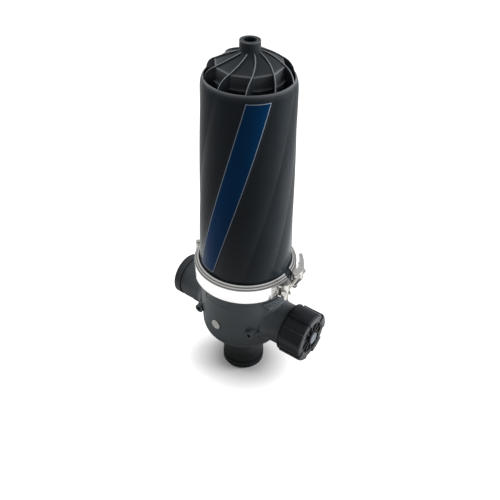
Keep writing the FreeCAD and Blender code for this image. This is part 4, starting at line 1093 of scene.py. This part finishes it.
    def rib(self, index: int) -> Grid:
        """One spiral rib across crown and moat.

        Its azimuth falls in proportion to the radius. Its section is a blade whose top is a
        half circle, and a painted highlight fades from the top's middle as (1 - side²)².

        Args:
            index: number of the rib.

        Returns:
            The grid.
        """
        radius, top = self.rib_line()
        share = (radius - self.crown_radius) / (self.rim_radius - self.crown_radius)
        degrees = self.rib_start - self.rib_sweep * share + index * 360.0 / self.panels
        line = around_axis(radius, np.radians(degrees), 0.0)[:, :2]
        along = np.gradient(line, axis=0)
        along = along / np.linalg.norm(along, axis=1)[:, None]
        normal = np.stack([-along[:, 1], along[:, 0]], axis=-1)
        half = self.rib_width / 2
        lean = np.radians(np.linspace(0.0, 180.0, self.rib_steps))
        side = np.concatenate([[-1.0], -np.cos(lean), [1.0]])[:, None]
        drop = np.concatenate([[0.0], half * (np.sin(lean) - 1), [0.0]])[:, None]
        rise = np.concatenate([[0.0], np.ones(len(lean)), [0.0]])[:, None]
        floor = self.moat_floor - self.rib_sink
        height = floor + (top - floor) * rise + drop
        place = line + normal * (side * half)[:, :, None]
        least, most = self.rib_highlight
        rubbed = np.broadcast_to(least + most * rise * (1 - side ** 2) ** 2, height.shape)
        return Grid(np.concatenate([place, height[:, :, None]], axis=-1), close_rows=True,
                    cap_ends=True, rubbed=rubbed)

    def build(self, maker: PieceMaker) -> None:
        """Makes the cover and its ribs."""
        maker.piece("cover_shell", [self.grid()], "cover_plastic", "housing", ["cover"])
        maker.piece("cover_ribs", [self.rib(index) for index in range(self.panels)],
                    "cover_plastic", "housing")


@dataclass
class Label:
    """Bare sticker with a light border, wound along one panel of the cover.

    Args:
        cover: the cover that carries it.
        bottom: lower end.
        top: upper end.
    """

    BORDER_START = (0.9, 1.1)
    BORDER_END = (2.2, 2.4)

    cover: Cover
    bottom: float
    top: float
    panel: int = -2
    width: float = 43.7
    margin: float = 4.4
    lift: float = 0.2
    sheet: float = 0.35
    sink: float = 0.3
    step: float = 3.0
    columns: int = 27

    @classmethod
    def border_mask(cls, graph: Graph) -> Socket:
        """Mask of the thin light frame, from a UV map in millimetres from the nearest edges.

        Args:
            graph: graph of the material.

        Returns:
            1 on the frame and 0 elsewhere.
        """
        across, along, _ = graph.parts(graph.add("ShaderNodeUVMap").outputs[0])
        nearest = graph.math("MINIMUM", across, along)
        past = graph.between(nearest, cls.BORDER_START, 0.0, 1.0)
        before = graph.between(nearest, cls.BORDER_END, 1.0, 0.0)
        return graph.math("MULTIPLY", past, before)

    def grid(self) -> Grid:
        """The sticker as a thin closed strip draped on its panel.

        The arc length across the panel is turned into a phase, and the radius is the cover's
        own radius there, less its dip, plus the sticker's lift.

        Returns:
            The grid.
        """
        cover = self.cover
        ends = np.array([[self.bottom, 0.0], [self.top, 0.0]])
        height = subdivided(ends, self.step, closed=False)[:, :1]
        across = np.linspace(0.0, self.width, self.columns)
        pitch = 2 * math.pi / cover.panels
        radius, lobe_share = cover.skin_at(height)
        phase = (radius * pitch - self.margin - self.width + across) / (radius * pitch)
        angle = np.radians(cover.crease + cover.turn_at(height)) + (self.panel + phase) * pitch
        skin = radius - cover.dip * lobe_share * cover.lobe(phase) + self.lift
        outer = around_axis(skin + self.sheet, angle, height)
        inner = around_axis(skin - self.sink, angle, height)[:, ::-1]
        points = np.concatenate([outer, inner], axis=1).transpose(1, 0, 2)
        edge_across = np.minimum(across, self.width - across)[:, None]
        edge_along = np.minimum(height - self.bottom, self.top - height).T
        flat = np.stack(np.broadcast_arrays(edge_across, edge_along), axis=-1)
        return Grid(points, close_rows=True, cap_ends=True, uv=np.concatenate([flat, flat[::-1]]))

    def build(self, maker: PieceMaker) -> None:
        """Makes the sticker."""
        maker.piece("label_strip", [self.grid()], "label_film", "housing", ["label"], sharp=50.0)


@dataclass
class Band:
    """V-band in two halves: a flat back, two slanted lips, each with a rolled bead.

    Args:
        joint: height of the joint plane.
        radius: outer radius.
    """

    joint: float
    radius: float
    half_height: float = 16.2
    sheet: float = 2.0
    lip_run: float = 8.8
    lip_slope: float = 40.0
    bead: float = 3.5
    bead_height: float = 1.5
    groove_depths: tuple[float, float] = (0.9, 0.8)
    front: tuple[float, float] = (-168.5, -1.0)
    back: tuple[float, float] = (10.0, 188.5)
    columns: int = 120

    def half_section(self) -> list[list[float]]:
        """Upper half of the section, from inside over the lip to the back.

        The lip's outer face rises with its slope from the back's edge. The bead stands above
        it, and the two grooves beside the bead and at the back lie below it.

        Returns:
            Rows of radius, height, share of painted shade in the grooves and easing.
        """
        lean = math.radians(self.lip_slope)
        slope = math.tan(lean)
        edge = self.radius - self.lip_run
        bead_end = edge + self.bead
        inner = self.radius - self.sheet
        deep = self.half_height + self.lip_run * slope - self.sheet * math.cos(lean)
        near = edge - self.sheet * math.sin(lean)
        inner_groove, outer_groove = self.groove_depths
        # radius, height above the lip's face, share of painted shade, easing
        lip = [
            (edge, 0, 0, 0.5),
            (edge + 0.8, self.bead_height / 2, 0, 0.7),
            (bead_end - 0.8, self.bead_height, 0, 0.8),
            (bead_end, -inner_groove, 1, 0.3),
            (bead_end + 0.7, -inner_groove, 1, 0.3),
            (bead_end + 1.1, 0, 0.1, 0.3),
            (self.radius - 2.4, 0, 0.1, 0.3),
            (self.radius - 2.0, -outer_groove, 1, 0.3),
            (self.radius - 1.2, -outer_groove, 1, 0.3),
        ]
        return [
            [inner, deep - (inner - near) * slope, 0, 1.5],
            [near, deep, 0, 0.7],
            *([radius, self.half_height + (self.radius - radius) * slope + above, painted_shade, ease]
              for radius, above, painted_shade, ease in lip),
            [self.radius, self.half_height - 0.6, 0, 0.6],
            [self.radius, self.half_height - 2.2, 0, 0.5],
        ]

    def grid(self, span: tuple[float, float]) -> Grid:
        """One half: the section and its mirror image, swept between two azimuths.

        Args:
            span: azimuths in degrees.

        Returns:
            The grid.
        """
        upper = np.array(self.half_section())
        lower = upper[::-1] * np.array([1.0, -1.0, 1.0, 1.0])
        section = rounded_path(np.vstack([upper, lower]), 3.0, closed=True, stations=4)
        radius, height, painted_shade = section.T[:, :, None]
        angle = np.radians(np.linspace(*span, self.columns + 1))
        points = around_axis(radius, angle, self.joint + height)
        # Painted shade in the grooves, by the section's share.
        return Grid(points, close_rows=True, cap_ends=True,
                    rubbed=np.broadcast_to(painted_shade, points.shape[:2]))

    def build(self, maker: PieceMaker) -> None:
        """Makes both halves."""
        maker.piece("band_front", [self.grid(self.front)], "band_steel", "front_clamp",
                    ["clamp_front_band"], sharp=50.0)
        maker.piece("band_back", [self.grid(self.back)], "band_steel", "housing",
                    ["clamp_back_band"], sharp=50.0)


@dataclass
class HandNut:
    """Ring nut with five raised pads and lower flats between them.

    Args:
        start: end of the nut towards the base.
        end: outer end.
        height: height of its axis.
        plug_face: outer face of the plug, where the nut's inside shoulder bears.
    """

    start: float
    end: float
    height: float
    plug_face: float
    pads: int = 5
    pad_radius: float = 52.2
    waist_radius: float = 48.8
    pad_angle: float = 41.0
    phase: float = 67.5
    ramp: float = 1.5
    notch: float = 2.0
    shoulder: float = 4.0
    rim_width: float = 3.0
    rim_rise: float = 1.2
    groove: float = 1.5
    window: float = 33.0
    bore: float = 46.3
    bearing_gap: float = 0.3
    face_depth: float = 1.2
    angle_step: float = 0.5
    # Shares of painted highlight on the pads' flanks and on their end faces.
    edge_highlight: float = 0.35
    face_highlight: float = 0.05

    def pad_share(self, angle: np.ndarray) -> np.ndarray:
        """Share of the pads' rise at an angle: 1 on a pad, 0 on a flat, eased as 3 s² - 2 s³.

        Args:
            angle: angles in degrees from straight up, over the side that faces -Y.

        Returns:
            The share.
        """
        pitch = 360.0 / self.pads
        offset = np.abs((angle - self.phase + pitch / 2) % pitch - pitch / 2)
        slope = np.clip((self.pad_angle / 2 + self.ramp - offset) / self.ramp, 0, 1)
        return slope * slope * (3 - 2 * slope)

    def corners(self) -> np.ndarray:
        """Corners of the half section, from the bore's inner end round the outside.

        Columns are radius, place along the axis, share of the pads' rise, share of the notches
        between the pads, and easing.

        Returns:
            The corners.
        """
        waist = self.waist_radius
        rim_end = self.start + self.rim_width
        face = self.end - self.face_depth
        bearing = self.plug_face + self.bearing_gap
        return np.array([
            [self.bore, self.start, 0, 0, 0.5],
            [waist + self.rim_rise, self.start, 0, 0, 0.8],
            [waist + self.rim_rise, rim_end, 0, 0, 0.3],
            [waist - self.groove, rim_end + 0.3, 0, 0, 0.2],
            [waist - self.groove, rim_end + self.groove, 0, 0, 0.2],
            [waist, rim_end + self.groove + 0.2, 1, 0, 0.3],
            [waist, self.end - self.shoulder * 1.4, 1, 0.2, 2.5],
            [waist - 0.6, self.end - self.shoulder * 0.6, 1, 0.6, 2.0],
            [waist - self.shoulder + 1.4, self.end, 0.8, 1, 2.0],
            [self.window + 4.0, self.end, 0, 1, 0.8],
            [self.window + 2.6, face, 0, 0.4, 0.8],
            [self.window + 0.4, face, 0, 0.4, 0.4],
            [self.window, face - 0.4, 0, 0.4, 0.4],
            [self.window, bearing, 0, 0, 0.3],
            [self.bore, bearing, 0, 0, 0.3],
        ])

    def grid(self) -> Grid:
        """The nut as one closed surface: its section turned about the port's axis.

        The pads' share adds to the radius, and its lack draws the end face in by the notch.
        Painted highlights lie on the pads' flanks and, faintly, on their end faces.

        Returns:
            The grid.
        """
        stations = rounded_path(self.corners(), 4.0, closed=True)
        radius, along, share, dip = stations.T[:, :, None]
        angle = np.arange(0.0, 360.0, self.angle_step)
        turn, pad = np.radians(angle), self.pad_share(angle)
        reach = radius + share * (self.pad_radius - self.waist_radius) * pad
        place = along - dip * self.notch * (1 - pad)
        points = np.stack([place, -reach * np.sin(turn), self.height + reach * np.cos(turn)],
                          axis=-1)
        flank = np.clip(4 * pad * (1.25 - pad), 0, 1) * (pad > 0.5) * (pad < 0.999)
        rubbed = self.edge_highlight * share * flank + self.face_highlight * (dip > 0.5) * pad
        return Grid(points, close_rows=True, close_columns=True, rubbed=np.clip(rubbed, 0, 1))

    def build(self, maker: PieceMaker) -> None:
        """Makes the nut."""
        maker.piece("nut_shell", [self.grid()], "nut_plastic", "nut", ["hand_nut"], sharp=45.0)


@dataclass(frozen=True)
class PhotoCamera:
    """Camera of the photograph, fitted to the object's edges.

    Args:
        distance: horizontal distance from the object's axis in millimetres.
        height: height above the floor in millimetres.
        pitch: tilt below the horizon, in radians.
        yaw: small turn from the axis, in radians.
        roll: small roll, in radians.
        turn: azimuth of the fit against the part's frame, in degrees.
        focal_pixels: focal length in pixels.
        image_pixels: width of the photograph in pixels.
        sensor: width of the camera's sensor in millimetres.
        clip: nearest and farthest visible distance in metres.
    """

    distance: float = 1001.033
    height: float = 1123.132
    pitch: float = 0.6877
    yaw: float = 0.0086
    roll: float = -0.0272
    turn: float = 35.587
    focal_pixels: float = 658.5521
    image_pixels: float = 500.0
    sensor: float = 36.0
    clip: tuple[float, float] = (0.05, 50.0)

    def build(self) -> None:
        """Makes the camera and sets it."""
        ahead = Vector((math.sin(self.yaw), math.cos(self.yaw), 0.0)) * math.cos(self.pitch)
        forward = ahead - Vector((0.0, 0.0, math.sin(self.pitch)))
        right = Vector((math.cos(self.yaw), -math.sin(self.yaw), 0.0))
        down = forward.cross(right)
        side = math.cos(self.roll) * right + math.sin(self.roll) * down
        low = -math.sin(self.roll) * right + math.cos(self.roll) * down
        axes = Matrix((side, -low, -forward)).transposed().to_4x4()
        place = Matrix.Translation(Vector((0.0, -self.distance, self.height)) * MM)
        data = bpy.data.cameras.new("photo_camera")
        data.sensor_width = self.sensor
        data.lens = self.focal_pixels / self.image_pixels * self.sensor
        data.clip_start, data.clip_end = self.clip
        camera = placed("photo_camera", data)
        camera.matrix_world = Matrix.Rotation(math.radians(self.turn), 4, "Z") @ place @ axes
        bpy.context.scene.camera = camera


@dataclass(frozen=True)
class SoftBox:
    """One soft light, aimed at a point of the axis. Mirrors keep the grey of its surroundings.

    Args:
        name: light name.
        azimuth: direction it stands in, from +X, in degrees.
        distance: horizontal distance in metres.
        height: height in metres.
        width: width in metres.
        length: height of its face in metres.
        power: watts.
        aim: height of the point it looks at, in metres.
    """

    name: str
    azimuth: float
    distance: float
    height: float
    width: float
    length: float
    power: float
    aim: float = 0.35

    def build(self) -> None:
        """Makes the light."""
        data = bpy.data.lights.new(self.name, "AREA")
        data.shape = "RECTANGLE"
        data.size, data.size_y, data.energy = self.width, self.length, self.power
        light = placed(self.name, data)
        angle = math.radians(self.azimuth)
        place = Vector((self.distance * math.cos(angle), self.distance * math.sin(angle),
                        self.height))
        light.location = place
        light.visible_glossy = False
        light.rotation_mode = "QUATERNION"
        aim = Vector((0, 0, self.aim)) - place
        light.rotation_quaternion = aim.to_track_quat("-Z", "Y")


@dataclass(frozen=True)
class Studio:
    """White sweep with soft light from both sides and from behind.

    Spans are distances from the middle of the floor, in metres.

    Args:
        floor_size: side of the floor in metres.
        floor_colour: grey of the floor as the camera sees it.
        bounce_colour: grey of the floor for the light that it sends back.
        glow: brightness that whitens the floor for the camera, outside the contact shadow.
        glow_span: where that brightness sets in.
        mirror_glow: brightness of the floor in reflections.
        mirror_span: where it sets in.
        mirror_rest: share of it that is left farther out.
        mirror_fall: where it falls to that share.
        sky: brightness of the surroundings.
        mirror_sky: brightness of the surroundings in reflections.
        lights: the lamps.
    """

    floor_size: float = 14.0
    floor_colour: float = 0.5
    bounce_colour: float = 0.2
    glow: float = 0.75
    glow_span: tuple[float, float] = (0.05, 0.13)
    mirror_glow: float = 0.95
    mirror_span: tuple[float, float] = (0.16, 0.36)
    mirror_rest: float = 0.3
    mirror_fall: tuple[float, float] = (0.42, 0.6)
    sky: float = 0.45
    mirror_sky: float = 0.62
    lights: Sequence[SoftBox] = (
        SoftBox("left_wall", -172.0, 2.4, 1.9, 1.8, 2.2, 56.0),
        SoftBox("right_wall", 34.0, 2.4, 1.4, 1.8, 1.8, 34.0),
        SoftBox("right_low", 40.0, 1.0, 0.3, 0.6, 0.5, 14.0),
        SoftBox("rear_top", 125.0, 1.5, 2.3, 1.8, 0.9, 16.0),
    )

    def build(self) -> None:
        """Makes floor, sky and lights."""
        self._floor()
        self._sky()
        for light in self.lights:
            light.build()
        bpy.context.scene.view_settings.view_transform = "Standard"

    def _floor(self) -> None:
        """A pale floor whose lit part reaches white and whose contact shadow stays."""
        half = self.floor_size / 2
        mesh = bpy.data.meshes.new("floor")
        corners = [(-half, -half, 0), (half, -half, 0), (half, half, 0), (-half, half, 0)]
        mesh.from_pydata(corners, [], [(0, 1, 2, 3)])
        placed("floor", mesh)
        material = bpy.data.materials.new("floor_paper")
        mesh.materials.append(material)
        graph = Graph.of(material)
        path = graph.add("ShaderNodeLightPath").outputs
        seen, in_mirror = path["Is Camera Ray"], path["Is Glossy Ray"]
        colour = graph.mix(seen, [self.bounce_colour] * 3, [self.floor_colour] * 3)
        diffuse = graph.add("ShaderNodeBsdfDiffuse", {"Color": colour})
        away = graph.add("ShaderNodeVectorMath", {0: graph.place()},
                         operation="LENGTH").outputs["Value"]
        white = graph.math("MULTIPLY", seen, graph.between(away, self.glow_span, 0.0, self.glow))
        rise = graph.between(away, self.mirror_span, 0.0, self.mirror_glow)
        fall = graph.between(away, self.mirror_fall, 1.0, self.mirror_rest)
        mirrored = graph.math("MULTIPLY", in_mirror, graph.math("MULTIPLY", rise, fall))
        strength = graph.math("ADD", white, mirrored)
        glow = graph.add("ShaderNodeEmission", {"Strength": strength})
        both = graph.add("ShaderNodeAddShader", {0: diffuse.outputs[0], 1: glow.outputs[0]})
        graph.add("ShaderNodeOutputMaterial", {"Surface": both.outputs[0]})

    def _sky(self) -> None:
        """Soft grey surroundings that the camera sees as white."""
        world = bpy.data.worlds.new("studio")
        bpy.context.scene.world = world
        graph = Graph.of(world)
        path = graph.add("ShaderNodeLightPath").outputs
        level = graph.between(path["Is Glossy Ray"], (0.0, 1.0), self.sky, self.mirror_sky)
        strength = graph.math("MAXIMUM", level, path["Is Camera Ray"])
        background = graph.add("ShaderNodeBackground", {"Strength": strength})
        graph.add("ShaderNodeOutputWorld", {"Surface": background.outputs[0]})


class DiscFilterScene:
    """The whole scene, in the order in which it is built.

    SOFT_WIDTHS holds the rounding of each CAD node that is kept as it is, in millimetres.
    """

    SOFT_WIDTHS: dict[str, float] = {
        "lever": 0.5, "front_bracket": 0.4, "back_bracket": 0.4, "crosshead": 0.4,
        "t_bolt": 0.4, "trunnion": 0.4, "clamp_washer": 0.25, "clamp_nut": 0.5,
        "hinge_knuckle_back": 0.4, "hinge_knuckles_front": 0.4, "hinge_pin": 0.4,
        "pivot_pins": 0.4, "port_plug": 0.35, "plug_hub": 0.2, "badge": 0.4,
        "tap_plugs": 0.3, "base_body": 0.5,
    }
    PLUG_FLANGE = 4.0

    def __init__(self, frame: dict) -> None:
        """Reads nodes, bodies and slots from the frame.
        """
        self.nodes: dict[str, Object] = frame["nodes"]
        self.body_of = {child.name: name for name, empty in frame["bodies"].items()
                        for child in empty.children}
        self.slot_of = {part["node"]: part["material_slot"]
                        for part in frame["record"]["subparts"]}
        band_low, band_high = self.box_mm("clamp_front_band")
        self.band_radius = -band_low.y
        self.base_painted_light = BasePaintedLight(joint=(band_low.z + band_high.z) / 2)
        self.materials = MaterialLibrary(DetailGroups(self.base_painted_light))
        self.maker = PieceMaker(self.materials)

    @staticmethod
    def box_mm(node: str) -> tuple[Vector, Vector]:
        """Gives the corners of a CAD node's box in millimetres."""
        low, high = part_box(node)
        return low / MM, high / MM

    def build(self) -> None:
        """Makes the camera, the studio and every piece."""
        PhotoCamera().build()
        Studio().build()
        self._dress_nodes()
        cover_low, cover_high = self.box_mm("cover")
        label_low, label_high = self.box_mm("label")
        nut_low, nut_high = self.box_mm("hand_nut")
        seal_low, seal_high = self.box_mm("port_seal")
        cover = Cover(cover_low.z, cover_high.z, cover_high.x)
        for assembly in (
            cover,
            Label(cover, label_low.z, label_high.z),
            Band(self.base_painted_light.joint, self.band_radius),
            HandNut(nut_low.x, nut_high.x, (seal_low.z + seal_high.z) / 2,
                    seal_high.x + self.PLUG_FLANGE),
        ):
            assembly.build(self.maker)
        for name, width in self.SOFT_WIDTHS.items():
            piece = self.maker.softened(self.nodes[name], self.slot_of[name],
                                        self.body_of[name], width)
            # The copy of the base gets painted highlights on its fin edges and recess floor.
            if name == "base_body":
                self.base_painted_light.paint_highlights(piece.data)

    def _dress_nodes(self) -> None:
        """Gives every CAD node the material of its slot."""
        for name, node in self.nodes.items():
            for slot in node.material_slots:
                slot.link = "OBJECT"
                slot.material = self.materials.get(self.slot_of[name])


def main() -> None:
    """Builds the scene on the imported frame."""
    logging.basicConfig(level=logging.INFO)
    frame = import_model()
    DiscFilterScene(frame).build()


if __name__ == "__main__":
    main()
